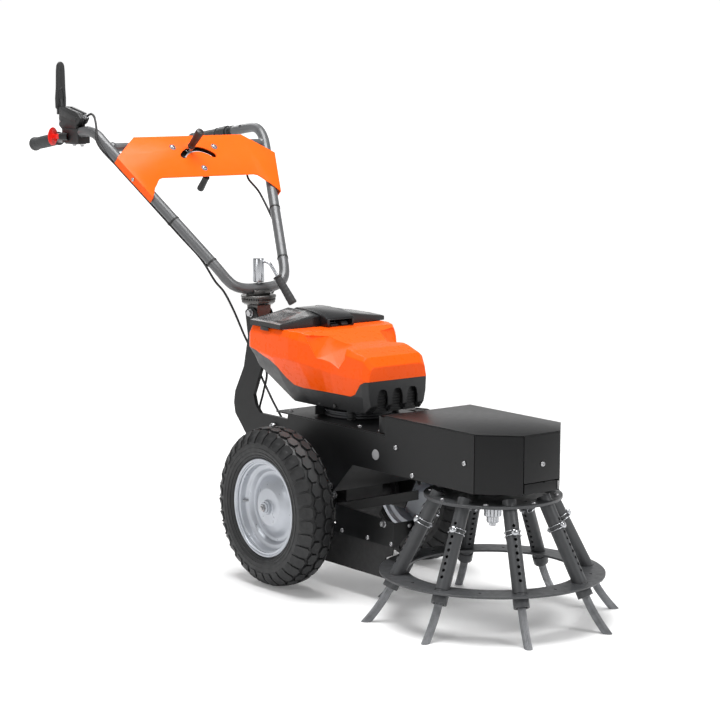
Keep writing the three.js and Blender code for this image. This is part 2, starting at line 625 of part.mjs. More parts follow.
function powerUnit() {
  const above = sidePlate([...SEAM, [-220, 700], [240, 700]], -200, 200);
  const below = sidePlate([...SEAM.map(([y, z]) => [y, z - GAP]), [-220, 400], [240, 400]], -200, 200);
  const outer = bodyLoft(0);
  const inner = bodyLoft(4);
  const bay = block([-150, 74, 560], [150, 194, 700]);
  const cavity = union(inner, bay);
  place('power_shell', cut(common(outer, above), cavity), orangePlastic);
  const shaftHole = rod(72, [0, MOTOR_Y, 430], [0, MOTOR_Y, 446], 24);
  place('power_base', cut(common(outer, below), inner, shaftHole), blackPlastic);

  const motorProfile = [
    [12, 413.8], [88, 413.8], [88, 430], [70, 431], [70, 540], [55, 548], [12, 548],
  ];
  place('motor', turned([...motorProfile, motorProfile[0]], 24).translate(0, MOTOR_Y, 0), steel);
  place('battery_pack', block([-145, 80, 548], [145, 188, 622]), blackPlastic);
  place('lid_bridge', lidBridge(), blackPlastic);
}

function lidBridge() {
  const profile = [[37, 628.6], [37, 650], [60, 662], [136, 672], [176, 672], [203, 655], [203, 628.6]];
  const hollow = [[41, 620], [41, 647], [62, 658], [136, 668], [174, 668], [199, 653], [199, 620]];
  const hood = cut(sidePlate(profile, -43, 43), sidePlate(hollow, -39.5, 39.5));
  return hood;
}

function lids() {
  const hingeY = 203;
  const section = [
    [-44, 665], [-44, 671], [-80, 667], [-122, 657], [-160, 646], [-168, 640], [-168, 629], [-163, 629],
    [-163, 637],
    [-120, 651], [-80, 661],
  ];
  const right = frontPlate(section, 68, hingeY);
  place('lid_right', right, blackPlastic);
  place('lid_left', mirrored(right), blackPlastic);
}

// ---------------------------------------------------------------- wheels
const TYRE_PROFILE = [
  [113.4, -37.2], [124.6, -37.4], [130, -44], [150, -51], [172, -50.5], [188, -44], [197, -30],
  [TYRE_RADIUS, 0],
  [197, 30], [188, 44], [172, 50.5], [150, 51], [130, 44], [124.6, 37.4], [113.4, 37.2], [113.4, 30],
  [150, 40], [178, 31], [186, 0], [178, -31], [150, -40], [113.4, -30],
];
// The dish steps inwards from the outer flange to the hub; height runs outwards.
const RIM_PROFILE = [
  [0, -52], [10, -52], [10, -46], [24, -46], [24, 2], [60, 4], [82, 15], [100, 24], [100, -28], [109, -31],
  [112, -41], [RIM_RADIUS, -41], [RIM_RADIUS, -38], [112.6, -37.8], [112.6, -29], [106, -24], [106, 26],
  [112.6, 29],
  [112.6, 37.8], [RIM_RADIUS, 38], [RIM_RADIUS, 41], [112, 38.5], [103, 29], [84, 19], [62, 8], [30, 7],
  [26, 24], [16, 26], [15, 40], [0, 40],
];

function wheel(side, name) {
  const group = new THREE.Group();
  group.position.set(side * WHEEL_X, 0, TYRE_RADIUS);
  group.rotation.y = side * Math.PI / 2;
  model.add(group);
  place(`tyre_${name}`, turned([...TYRE_PROFILE, TYRE_PROFILE[0]], 24), tyreRubber, group);
  place(`rim_${name}`, turned(RIM_PROFILE, 24), silverPaint, group);
}

// ---------------------------------------------------------------- brush head
function tubePoint(angle, radius, height) {
  return [Math.cos(angle) * radius, Math.sin(angle) * radius, height];
}

function brushHead() {
  const head = new THREE.Group();
  head.position.set(0, BRUSH_Y, 0);
  model.add(head);

  const discMiddle = DISC_TOP_Z - 3.5;
  const ringMiddle = RING_TOP_Z - 2.5;
  const slope = (TUBE_LOW_RADIUS - TUBE_TOP_RADIUS) / (discMiddle - ringMiddle);
  const radiusAt = (height) => TUBE_TOP_RADIUS + (discMiddle - height) * slope;
  const angles = [...Array(TUBE_COUNT).keys()].map((i) => TUBE_PHASE + i * 2 * Math.PI / TUBE_COUNT);
  const along = (angle, radius, highZ, lowZ, sides) => rod(
    radius, tubePoint(angle, radiusAt(lowZ), lowZ), tubePoint(angle, radiusAt(highZ), highZ), sides,
  );

  const disc = turned([[16.5, DISC_TOP_Z - 7], [DISC_RADIUS, DISC_TOP_Z - 7], [DISC_RADIUS, DISC_TOP_Z],
    [16.5, DISC_TOP_Z], [16.5, DISC_TOP_Z - 7]], 32);
  place('brush_disc', cut(disc, ...angles.map((angle) => along(angle, TUBE_OUTER + 0.8, 320, 270, 12))),
    cagePaint, head);

  const ring = turned([[RING_INNER, RING_TOP_Z - 5], [RING_OUTER, RING_TOP_Z - 5], [RING_OUTER, RING_TOP_Z],
    [RING_INNER, RING_TOP_Z], [RING_INNER, RING_TOP_Z - 5]], 32);
  place('brush_ring', cut(ring, ...angles.map((angle) => along(angle, TUBE_OUTER + 0.8, 140, 80, 12))),
    cagePaint, head);

  const collarTop = RING_TOP_Z - 5 - GAP - 8.6;
  const collarLow = collarTop - COLLAR_LENGTH * 0.66;
  angles.forEach((angle, i) => {
    const tube = union(
      along(angle, TUBE_OUTER, DISC_TOP_Z + 8, collarLow, 12),
      along(angle, COLLAR_RADIUS, collarTop, collarLow, 12),
    );
    place(`brush_tube_${i + 1}`, cut(tube, along(angle, TUBE_INNER, DISC_TOP_Z + 30, collarLow - 20,
      10)), cagePaint, head);

    const shank = along(angle, TUBE_INNER - 1.2, 262, collarLow + 4, 8);
    const leaveZ = collarLow - 2;
    const rope = bentBar([
      tubePoint(angle, radiusAt(collarLow + 26), collarLow + 26), tubePoint(angle, radiusAt(leaveZ),
        leaveZ),
      tubePoint(angle, radiusAt(leaveZ) + 21, 38), tubePoint(angle, ROPE_TIP_RADIUS - 9.5, 9),
        tubePoint(angle, ROPE_TIP_RADIUS + 4, -10),
    ], ROPE_RADIUS, 7, 8);
    const floorCut = block([-420, -420, -60], [420, 420, 0]);
    place(`brush_bundle_${i + 1}`, cut(union(shank, rope), floorCut), ropeSteel, head);
  });

  const spindle = [
    [0, 218], [12.5, 218], [12.5, 235], [21.5, 236], [21.5, 287.4], [16, 287.5], [16, 295.4],
    [42, 295.4], [42, 300],
    [20, 300.5], [12, 302], [12, 388], [0, 388],
  ];
  place('spindle', turned(spindle, 18), chrome, head);

  const bearing = [[12.6, 304], [50, 304], [50, 320.5], [35.5, 320.5], [35.5, 343], [12.6, 343],
    [12.6, 304]];
  const bearingGeometry = turned(bearing, 24).translate(0, BRUSH_Y, 0);
  place('spindle_bearing', bearingGeometry, blackPaint);

  place('driven_pulley', turned(pulleyProfile(BRUSH_PULLEY_RADIUS, 12.6), 24), steel, head);
}

// A flanged flat pulley on a shaft bore.
function pulleyProfile(radius, bore) {
  const rows = [
    [bore, PULLEY_Z], [radius + 5, PULLEY_Z], [radius + 5, PULLEY_Z + 3], [radius, PULLEY_Z + 3],
    [radius, PULLEY_Z + 19],
    [radius + 5, PULLEY_Z + 19], [radius + 5, PULLEY_Z + 22], [bore, PULLEY_Z + 22],
  ];
  return [...rows, rows[0]];
}

function beltDrive() {
  const shaftAndPulley = [
    [0, PULLEY_Z - 4], [10, PULLEY_Z - 4], ...pulleyProfile(MOTOR_PULLEY_RADIUS, 10).slice(1, -1),
    [10, PULLEY_Z + 23],
    [10, 470], [0, 470],
  ];
  place('motor_pulley', turned(shaftAndPulley, 18).translate(0, MOTOR_Y, 0), steel);

  const wrap = (extra) => {
    const shape = new THREE.Shape();
    const lean = Math.asin((BRUSH_PULLEY_RADIUS - MOTOR_PULLEY_RADIUS) / (MOTOR_Y - BRUSH_Y));
    shape.absarc(0, MOTOR_Y, MOTOR_PULLEY_RADIUS + extra, -lean, Math.PI + lean, false);
    shape.absarc(0, BRUSH_Y, BRUSH_PULLEY_RADIUS + extra, Math.PI + lean, 2 * Math.PI - lean, false);
    shape.closePath();
    const settings = { depth: 14, bevelEnabled: false, curveSegments: 8 };
    return new THREE.ExtrudeGeometry(shape, settings);
  };
  const outer = wrap(4.8).translate(0, 0, PULLEY_Z + 4);
  const inner = wrap(1.6).scale(1, 1, 2).translate(0, 0, PULLEY_Z);
  place('drive_belt', cut(outer, inner), softRubber);
}

// ---------------------------------------------------------------- assembly
chassis();
transaxle();
debrisGuard();
handleArm();
powerUnit();
lids();
beltDrive();
wheel(-1, 'right');
wheel(1, 'left');
brushHead();
swivelPost();

const handlebar = new THREE.Group();
model.add(handlebar);
swivelHead(handlebar);
handlebarFrame(handlebar);
controlPanel(handlebar);
grips(handlebar);
perches(handlebar);
handLevers(handlebar);
panelLevers(handlebar);
clampCrank(handlebar);
cables();

export default model;
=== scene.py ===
# A walk-behind weed brush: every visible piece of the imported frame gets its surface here.
# Lengths in the geometry below are millimetres; finish_piece() turns them into metres.
import math
import bpy
import bmesh
from mathutils import Matrix, Quaternion, Vector


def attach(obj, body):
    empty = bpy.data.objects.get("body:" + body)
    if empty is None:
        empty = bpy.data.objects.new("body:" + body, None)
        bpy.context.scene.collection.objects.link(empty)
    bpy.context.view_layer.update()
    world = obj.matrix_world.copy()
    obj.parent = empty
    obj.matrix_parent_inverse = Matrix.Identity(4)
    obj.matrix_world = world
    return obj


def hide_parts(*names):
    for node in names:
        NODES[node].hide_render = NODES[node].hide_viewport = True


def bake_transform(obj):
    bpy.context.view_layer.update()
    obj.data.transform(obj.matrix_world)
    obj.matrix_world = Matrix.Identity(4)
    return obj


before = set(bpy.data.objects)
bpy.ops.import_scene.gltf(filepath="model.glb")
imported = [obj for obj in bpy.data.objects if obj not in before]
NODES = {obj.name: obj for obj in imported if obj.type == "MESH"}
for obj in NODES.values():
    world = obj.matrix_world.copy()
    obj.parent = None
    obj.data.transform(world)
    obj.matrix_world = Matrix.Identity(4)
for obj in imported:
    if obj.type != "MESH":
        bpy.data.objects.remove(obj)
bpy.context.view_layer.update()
MM = 0.001
X, Z = Vector((1, 0, 0)), Vector((0, 0, 1))


def linked(name, data):
    """A new object that holds the data, in the scene."""
    obj = bpy.data.objects.new(name, data)
    bpy.context.scene.collection.objects.link(obj)
    return obj


def mesh_of(name, bm):
    """Turns an edited mesh into mesh data, and frees it."""
    mesh = bpy.data.meshes.new(name)
    bm.to_mesh(mesh)
    bm.free()
    return mesh


# ---------------------------------------------------------------- camera
EYE = Vector((-3.380, -4.313, 1.335))
HEADING = math.radians(38.35)
DROP = math.radians(8.19)
ROLL = math.radians(0.23)
camera = linked("camera", bpy.data.cameras.new("camera"))
camera.data.sensor_width = 36
camera.data.lens = 109.6
camera.data.clip_end = 60
look = Vector((math.sin(HEADING) * math.cos(DROP), math.cos(HEADING) * math.cos(DROP), -math.sin(DROP)))
camera.location = EYE
camera.rotation_mode = "QUATERNION"
camera.rotation_quaternion = look.to_track_quat("-Z", "Y") @ Quaternion(Z, ROLL)
bpy.context.scene.camera = camera


# ---------------------------------------------------------------- materials
def ramp(nodes, links, factor, low, high, start=0.35, stop=0.65):
    """A two-tone colour ramp driven by a factor output."""
    node = nodes.new("ShaderNodeValToRGB")
    node.color_ramp.elements[0].position = start
    node.color_ramp.elements[1].position = stop
    node.color_ramp.elements[0].color = (*low, 1)
    node.color_ramp.elements[1].color = (*high, 1)
    links.new(factor, node.inputs["Fac"])
    return node.outputs["Color"]


def noise_of(nodes, links, vector, scale, detail=4.0, roughness=0.55):
    """The value of a noise texture in the space of a vector output."""
    node = nodes.new("ShaderNodeTexNoise")
    node.inputs["Scale"].default_value = scale
    node.inputs["Detail"].default_value = detail
    node.inputs["Roughness"].default_value = roughness
    links.new(vector, node.inputs["Vector"])
    return node.outputs["Fac"]


def map_range(nodes, links, value, span, result):
    """A value carried from one range to another, held at its ends."""
    node = nodes.new("ShaderNodeMapRange")
    for key, number in zip(("From Min", "From Max", "To Min", "To Max"), (*span, *result)):
        node.inputs[key].default_value = number
    links.new(value, node.inputs["Value"])
    return node.outputs["Result"]


def surface(name, color, roughness, metallic=0.0, spread=0.12, mottle=9.0, grain=600.0, depth=0.0003,
            rough_spread=0.08, coat=0.0, stretch=(1, 1, 1), dust=None, specular=0.5):
    """A material whose tone, gloss and relief all vary with procedural noise in the object's own space."""
    material = bpy.data.materials.new(name)
    material.use_nodes = True
    nodes, links = material.node_tree.nodes, material.node_tree.links
    shader = nodes["Principled BSDF"]
    shader.inputs["Metallic"].default_value = metallic
    shader.inputs["Specular IOR Level"].default_value = specular
    shader.inputs["Coat Weight"].default_value = coat
    shader.inputs["Coat Roughness"].default_value = 0.12
    place = nodes.new("ShaderNodeTexCoord").outputs["Object"]
    mapping = nodes.new("ShaderNodeMapping")
    mapping.inputs["Scale"].default_value = stretch
    links.new(place, mapping.inputs["Vector"])
    fine = mapping.outputs["Vector"]
    tone = noise_of(nodes, links, place, mottle)
    low = [c * (1 - spread) for c in color]
    high = [min(1.0, c * (1 + spread)) for c in color]
    base = ramp(nodes, links, tone, low, high)
    if dust:
        dust_color, amount = dust
        patches = noise_of(nodes, links, place, mottle * 2.6, 8.0, 0.7)
        cover = map_range(nodes, links, patches, (0.52, 0.78), (0, amount))
        mix = nodes.new("ShaderNodeMix")
        mix.data_type = "RGBA"
        mix.inputs["B"].default_value = (*dust_color, 1)
        links.new(cover, mix.inputs["Factor"])
        links.new(base, mix.inputs["A"])
        base = mix.outputs["Result"]
    links.new(base, shader.inputs["Base Color"])
    low_rough, high_rough = max(0.03, roughness - rough_spread), min(1.0, roughness + rough_spread)
    gloss = map_range(nodes, links, noise_of(nodes, links, fine, mottle * 7, 6.0), (0.3, 0.7),
                      (low_rough, high_rough))
    links.new(gloss, shader.inputs["Roughness"])
    bump = nodes.new("ShaderNodeBump")
    bump.inputs["Strength"].default_value = 0.5
    bump.inputs["Distance"].default_value = depth
    links.new(noise_of(nodes, links, fine, grain, 3.0), bump.inputs["Height"])
    links.new(bump.outputs["Normal"], shader.inputs["Normal"])
    return material


ORANGE_PLASTIC = surface("orange_plastic", (0.93, 0.094, 0.003), 0.3, spread=0.02, grain=1500,
                         depth=0.00002, specular=0.16)
ORANGE_PAINT = surface("orange_paint", (0.93, 0.105, 0.005), 0.36, spread=0.03, grain=1500, depth=0.00002,
                       specular=0.16)
BLACK_PAINT = surface("black_paint", (0.0042, 0.0044, 0.0048), 0.36, spread=0.08, grain=1600,
                      depth=0.00002, rough_spread=0.015, specular=0.24)
CAST_HOUSING = surface("cast_housing", (0.015, 0.015, 0.016), 0.55, spread=0.15, grain=420, depth=0.0004)
BLACK_PLASTIC = surface("black_plastic", (0.014, 0.0145, 0.015), 0.48, spread=0.12, grain=1900,
                        depth=0.00008, rough_spread=0.06, specular=0.38)
LID_PLASTIC = surface("lid_plastic", (0.011, 0.0115, 0.0122), 0.22, spread=0.04, mottle=4, grain=1500,
                      depth=0.00002, rough_spread=0.02, coat=0.05, specular=0.34)
BASE_PLASTIC = surface("base_plastic", (0.019, 0.0195, 0.0205), 0.44, spread=0.08, grain=1600,
                       depth=0.0001, specular=0.4)
GREY_PAINT = surface("grey_paint", (0.098, 0.1, 0.103), 0.34, metallic=0.25, spread=0.06, grain=1500,
                     depth=0.00003)
CAGE_PAINT = surface("cage_paint", (0.052, 0.054, 0.057), 0.42, metallic=0.15, spread=0.1, grain=1300,
                     depth=0.00008, dust=((0.075, 0.075, 0.075), 0.15))
SILVER_PAINT = surface("silver_paint", (0.42, 0.44, 0.475), 0.34, metallic=0.45, spread=0.05, grain=2600,
                       depth=0.00003)
MOTOR_ALLOY = surface("motor_alloy", (0.06, 0.062, 0.066), 0.45, metallic=0.6, spread=0.15, grain=500,
                      depth=0.0002)
STEEL = surface("steel", (0.42, 0.42, 0.43), 0.3, metallic=1.0, spread=0.1, grain=900, depth=0.00005,
                stretch=(1, 1, 6))
CHROME = surface("chrome", (0.45, 0.46, 0.48), 0.2, metallic=1.0, spread=0.04, grain=300, depth=0.00002,
                 rough_spread=0.04)
ROPE_STEEL = surface("rope_steel", (0.24, 0.245, 0.255), 0.42, metallic=0.75, spread=0.15, mottle=60,
                     grain=900, depth=0.0001, stretch=(1, 1, 0.2))
TYRE_RUBBER = surface("tyre_rubber", (0.0075, 0.0078, 0.0084), 0.55, spread=0.15, grain=700, depth=0.0001,
                      dust=((0.02, 0.0195, 0.019), 0.3))
SOFT_RUBBER = surface("soft_rubber", (0.011, 0.011, 0.0115), 0.6, spread=0.15, grain=1500, depth=0.0001)
GRIP_RUBBER = surface("grip_rubber", (0.028, 0.029, 0.03), 0.62, spread=0.15, grain=1900, depth=0.0002)
RED_PLASTIC = surface("red_plastic", (0.74, 0.014, 0.008), 0.33, spread=0.06, grain=900, depth=0.00003,
                      coat=0.1)
ROSETTE_STEEL = surface("rosette_steel", (0.085, 0.083, 0.081), 0.3, metallic=0.85, spread=0.2, grain=500,
                        depth=0.0001)


# ---------------------------------------------------------------- mesh helpers
def add(bm, points, faces):
    """Adds points and faces to a mesh and returns the new vertices."""
    verts = [bm.verts.new(Vector(p)) for p in points]
    for face in faces:
        bm.faces.new([verts[i] for i in face])
    return verts


def prism(bm, outline, offset):
    """A closed outline of points carried along an offset vector."""
    count = len(outline)
    points = [Vector(p) for p in outline] + [Vector(p) + Vector(offset) for p in outline]
    sides = [(i, (i + 1) % count, (i + 1) % count + count, i + count) for i in range(count)]
    add(bm, points, [tuple(range(count))[::-1], tuple(range(count, 2 * count))] + sides)


def side_prism(bm, outline, low, high):
    """An outline of (y, z) points between two x values."""
    prism(bm, [(low, y, z) for y, z in outline], (high - low, 0, 0))


def box_solid(bm, low, high):
    """A box between two opposite corners."""
    (a, b, c), (d, e, f) = low, high
    prism(bm, [(a, b, c), (d, b, c), (d, e, c), (a, e, c)], (0, 0, f - c))


def basis(axis):
    """Two unit vectors that make a right-handed set with an axis."""
    helper = Z if abs(axis.z) < 0.9 else X
    u = axis.cross(helper).normalized()
    return u, axis.cross(u).normalized()


def lathe(bm, profile, origin=(0, 0, 0), axis=Z, steps=48, closed=False):
    """Turns (radius, height) pairs about an axis; a radius of 0 closes on the axis."""
    origin, axis = Vector(origin), Vector(axis).normalized()
    u, v = basis(axis)
    rings = []
    for radius, height in profile:
        centre = origin + axis * height
        if radius < 1e-6:
            rings.append([bm.verts.new(centre)])
            continue
        ring = []
        for i in range(steps):
            turn = 2 * math.pi * i / steps
            ring.append(bm.verts.new(centre + (u * math.cos(turn) + v * math.sin(turn)) * radius))
        rings.append(ring)
    pairs = list(zip(rings, rings[1:]))
    if closed:
        pairs.append((rings[-1], rings[0]))
    for a, b in pairs:
        for i in range(steps):
            j = (i + 1) % steps
            corners = [a[i % len(a)], a[j % len(a)], b[j % len(b)], b[i % len(b)]]
            unique = list(dict.fromkeys(corners))
            if len(unique) > 2:
                bm.faces.new(unique)


def rod(bm, start, end, radius, steps=24, edge=0.8, end_radius=None):
    """A cylinder or cone with small rounded edges."""
    start, end = Vector(start), Vector(end)
    length = (end - start).length
    far = radius if end_radius is None else end_radius
    lathe(bm, [(0, 0), (radius - edge, 0), (radius, edge), (far, length - edge), (far - edge, length),
               (0, length)], start, end - start, steps)


def cylinder(bm, radius, low, high, origin=(0, 0, 0), axis=Z, steps=32):
    """A plain cylinder between two heights along an axis."""
    lathe(bm, [(0, low), (radius, low), (radius, high), (0, high)], origin, axis, steps)


def mirrored(half):
    """An outline of (x, other) points followed by its mirror image across x = 0."""
    return half + [(-x, other) for x, other in reversed(half)]


def curve_points(points, count, divisions=24):
    """Evenly spaced points on a smooth centripetal curve through the given points."""
    given = [Vector(p) for p in points]
    padded = [given[0] * 2 - given[1]] + given + [given[-1] * 2 - given[-2]]
    dense = []
    for p0, p1, p2, p3 in zip(padded, padded[1:], padded[2:], padded[3:]):
        t = [0.0]
        for a, b in ((p0, p1), (p1, p2), (p2, p3)):
            t.append(t[-1] + max(1e-6, (b - a).length) ** 0.5)
        for step in range(divisions):
            s = t[1] + (t[2] - t[1]) * step / divisions
            a1 = p0.lerp(p1, (s - t[0]) / (t[1] - t[0]))
            a2 = p1.lerp(p2, (s - t[1]) / (t[2] - t[1]))
            a3 = p2.lerp(p3, (s - t[2]) / (t[3] - t[2]))
            b1 = a1.lerp(a2, (s - t[0]) / (t[2] - t[0]))
            b2 = a2.lerp(a3, (s - t[1]) / (t[3] - t[1]))
            dense.append(b1.lerp(b2, (s - t[1]) / (t[2] - t[1])))
    dense.append(given[-1])
    lengths = [0.0]
    for a, b in zip(dense, dense[1:]):
        lengths.append(lengths[-1] + (b - a).length)
    result, at = [], 0
    for i in range(count):
        target = lengths[-1] * i / (count - 1)
        while at < len(dense) - 2 and lengths[at + 1] < target:
            at += 1
        part = (target - lengths[at]) / max(1e-9, lengths[at + 1] - lengths[at])
        result.append(dense[at].lerp(dense[at + 1], min(1, max(0, part))))
    return result


def sweep(bm, path, radius, sides=12, capped=True, loop=False):
    """A tube along a list of points; radius is a number or a function of the index."""
    count = len(path)
    normal = None
    rings = []
    for i, point in enumerate(path):
        before, after = path[max(0, i - 1)], path[min(count - 1, i + 1)]
        if loop:
            before, after = path[i - 1], path[(i + 1) % count]
        tangent = (after - before).normalized()
        if normal is None:
            normal = basis(tangent)[0]
        normal = (normal - tangent * normal.dot(tangent)).normalized()
        other = tangent.cross(normal)
        r = radius(i) if callable(radius) else radius
        rings.append([bm.verts.new(point + (normal * math.cos(a) + other * math.sin(a)) * r)
                      for a in (2 * math.pi * k / sides for k in range(sides))])
    pairs = list(zip(rings, rings[1:])) + ([(rings[-1], rings[0])] if loop else [])
    for a, b in pairs:
        for k in range(sides):
            bm.faces.new((a[k], a[(k + 1) % sides], b[(k + 1) % sides], b[k]))
    if capped and not loop:
        bm.faces.new(rings[0][::-1])
        bm.faces.new(rings[-1])


def hull(bm, points):
    """The convex hull of some points."""
    verts = [bm.verts.new(Vector(p)) for p in points]
    result = bmesh.ops.convex_hull(bm, input=verts)
    spare = [g for g in result["geom_interior"] if isinstance(g, bmesh.types.BMVert)]
    bmesh.ops.delete(bm, geom=spare, context="VERTS")


def solid(shape, *values, **settings):
    """A new mesh that holds one shape."""
    bm = bmesh.new()
    shape(bm, *values, **settings)
    return bm


def absorb(bm, *others):
    """Adds the faces of other meshes to a mesh."""
    for other in others:
        mesh = mesh_of("absorbed", other)
        bm.from_mesh(mesh)
        bpy.data.meshes.remove(mesh)
    return bm


def plain_object(name, bm):
    """Turns a mesh into an object of the scene, in the units it was drawn in."""
    bmesh.ops.recalc_face_normals(bm, faces=bm.faces)
    return linked(name, mesh_of(name, bm))


def with_modifier(bm, kind, **settings):
    """The mesh after one modifier, as a new editable mesh."""
    obj = plain_object("work", bm)
    modifier = obj.modifiers.new("work", kind)
    for key, value in settings.items():
        setattr(modifier, key, value)
    graph = bpy.context.evaluated_depsgraph_get()
    result = bmesh.new()
    result.from_mesh(obj.evaluated_get(graph).to_mesh())
    bpy.data.objects.remove(obj)
    return result


def rounded(bm, width, segments=2, angle=28):
    """Bevels every edge that turns by more than an angle in degrees."""
    return with_modifier(bm, "BEVEL", width=width, segments=segments, limit_method="ANGLE",
                         angle_limit=math.radians(angle), use_clamp_overlap=True)


def carved(bm, cutter, operation="DIFFERENCE"):
    """A mesh with a cutter taken away, or only what both share."""
    tool = plain_object("tool", cutter)
    result = with_modifier(bm, "BOOLEAN", object=tool, operation=operation, solver="EXACT")
    bpy.data.objects.remove(tool)
    return result


def finish_piece(name, bm, material, body, nodes=(), slot_name=None, smooth=32, faceted=False):
    """Turns a millimetre mesh into a named piece on its body; a faceted one keeps its flat faces flat.

    A slot name is worked out from the material's name unless one is given, but it is not used.
    """
    bmesh.ops.remove_doubles(bm, verts=bm.verts, dist=0.001)
    bmesh.ops.recalc_face_normals(bm, faces=bm.faces)
    limit = math.radians(smooth)
    for edge in bm.edges:
        edge.smooth = len(edge.link_faces) == 2 and edge.calc_face_angle(0) < limit
    for face in bm.faces:
        face.smooth = True
    bmesh.ops.scale(bm, vec=(MM, MM, MM), verts=bm.verts)
    mesh = mesh_of(name, bm)
    mesh.materials.append(material)
    obj = linked(name, mesh)
    if body:
        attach(obj, body)
    # Blender adds a number to a material's name when the frame already has one of that name.
    slot_name = slot_name or material.name.split(".")[0]
    if nodes:
        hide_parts(*nodes)
    if faceted:
        modifier = obj.modifiers.new("flat_faces", "WEIGHTED_NORMAL")
        modifier.weight = 90
        modifier.keep_sharp = True
    return obj


def dress(node, material, bevel=0.8):
    """Gives a kept CAD node its finish and softened edges."""
    obj = NODES[node]
    obj.data.materials.clear()
    obj.data.materials.append(material)
    if bevel:
        modifier = obj.modifiers.new("edge", "BEVEL")
        modifier.width = bevel * MM
        modifier.segments = 2
        modifier.limit_method = "ANGLE"
        modifier.angle_limit = math.radians(38)
        modifier.harden_normals = False


def hex_bolt(bm, point, axis, across=13, height=6, washer=9.5):
    """A hexagon head with a chamfered top on a washer."""
    axis = Vector(axis).normalized()
    point = Vector(point)
    lathe(bm, [(0, 0), (washer, 0), (washer, 1.2), (washer - 0.5, 1.6), (0, 1.6)], point, axis, 24)
    r = across / math.sqrt(3)
    lathe(bm, [(0, 1.6), (r, 1.6), (r, 1.6 + height - 1), (r * 0.9, 1.6 + height), (0, 1.6 + height)],
          point, axis, 6)


def dome_screw(bm, point, axis, radius=6.5, height=3.6):
    """A domed socket screw with a six-sided recess."""
    profile = [(0, 0), (radius, 0)]
    for i in range(7):
        turn = math.pi / 2 * i / 6
        profile.append((radius * (0.55 + 0.45 * math.cos(turn)), 0.5 + (height - 0.5) * math.sin(turn)))
    lathe(bm, profile + [(radius * 0.42, height), (radius * 0.42, height * 0.45), (0, height * 0.45)],
          point, axis, 24)


# ---------------------------------------------------------------- kept sheet metal and hidden pieces
for kept in ("side_plate_right", "side_plate_left", "motor_deck", "belt_floor", "flap_bracket", "handle_arm"):
    dress(kept, BLACK_PAINT, 0.9)
dress("transaxle", CAST_HOUSING, 3.0)
dress("battery_pack", BLACK_PLASTIC, 2.5)
dress("drive_belt", SOFT_RUBBER, 0.5)
dress("motor_pulley", STEEL, 0)
dress("driven_pulley", STEEL, 0)
dress("spindle_bearing", BLACK_PAINT, 0.8)

# Half width of the chassis, then the belt cover, belt floor, debris guard and brush axis.
PLATE_X = 135.2
COVER_TOP = 460.1
COVER_BACK, CHAMFER, COVER_FRONT, NOSE_X = -307.6, -630.8, -712.5, 56.0
FLOOR_Z = 320.9
GUARD_FACE_X = -136.3
FLAP_X = -129.0
BRUSH_Y = -546.6


def belt_cover():
    """Top sheet and five separate bent walls, with open seams at the chamfer corners."""
    bm = bmesh.new()
    plan = mirrored([(-PLATE_X, COVER_BACK), (-PLATE_X, CHAMFER), (-NOSE_X, COVER_FRONT)])
    prism(bm, [(x, y, COVER_TOP - 2.6) for x, y in plan], (0, 0, 2.6))
    walls = [(plan[1], plan[2]), (plan[2], plan[3]), (plan[3], plan[4])]
    for i, (start, end) in enumerate(walls):
        a, b = Vector((*start, 0)), Vector((*end, 0))
        along = (b - a).normalized()
        inward = Vector((-along.y, along.x, 0))
        inward = inward if inward.dot(Vector((0, -500, 0)) - a) > 0 else -inward
        a, b = a + along * 1.4 + inward * 0.5, b - along * 1.4 + inward * 0.5
        low = FLOOR_Z + (27 if i == 1 else 0)
        prism(bm, [a + Z * low, b + Z * low, b + inward * 2.4 + Z * low, a + inward * 2.4 + Z * low],
              (0, 0, COVER_TOP - 3 - low))
    box_solid(bm, (-NOSE_X + 6, COVER_FRONT + 4, FLOOR_Z + 1),
              (NOSE_X - 4, COVER_FRONT + 6.4, FLOOR_Z + 24.5))
    box_solid(bm, (-PLATE_X + 5, COVER_BACK - 2.6, 415), (PLATE_X - 5, COVER_BACK - 0.2, COVER_TOP - 2.9))
    bm = rounded(bm, 1.0, 3)
    finish_piece("belt_cover_sheet", bm, BLACK_PAINT, "chassis", ["belt_cover"])
    catch = solid(box_solid, (-72, COVER_BACK + 0.6, 450), (40, COVER_BACK + 12, 452.5))
    box_solid(catch, (-PLATE_X + 4, COVER_BACK + 0.6, 414.2), (-PLATE_X + 7, COVER_BACK + 26, 456))
    box_solid(catch, (-PLATE_X + 4, COVER_BACK + 0.6, 453), (-60, COVER_BACK + 22, 456))
    box_solid(catch, (10, COVER_FRONT + 1, 343.5), (34, COVER_FRONT + 3.6, 346.5))
    finish_piece("cover_catch", rounded(catch, 0.5), BLACK_PAINT, "chassis")


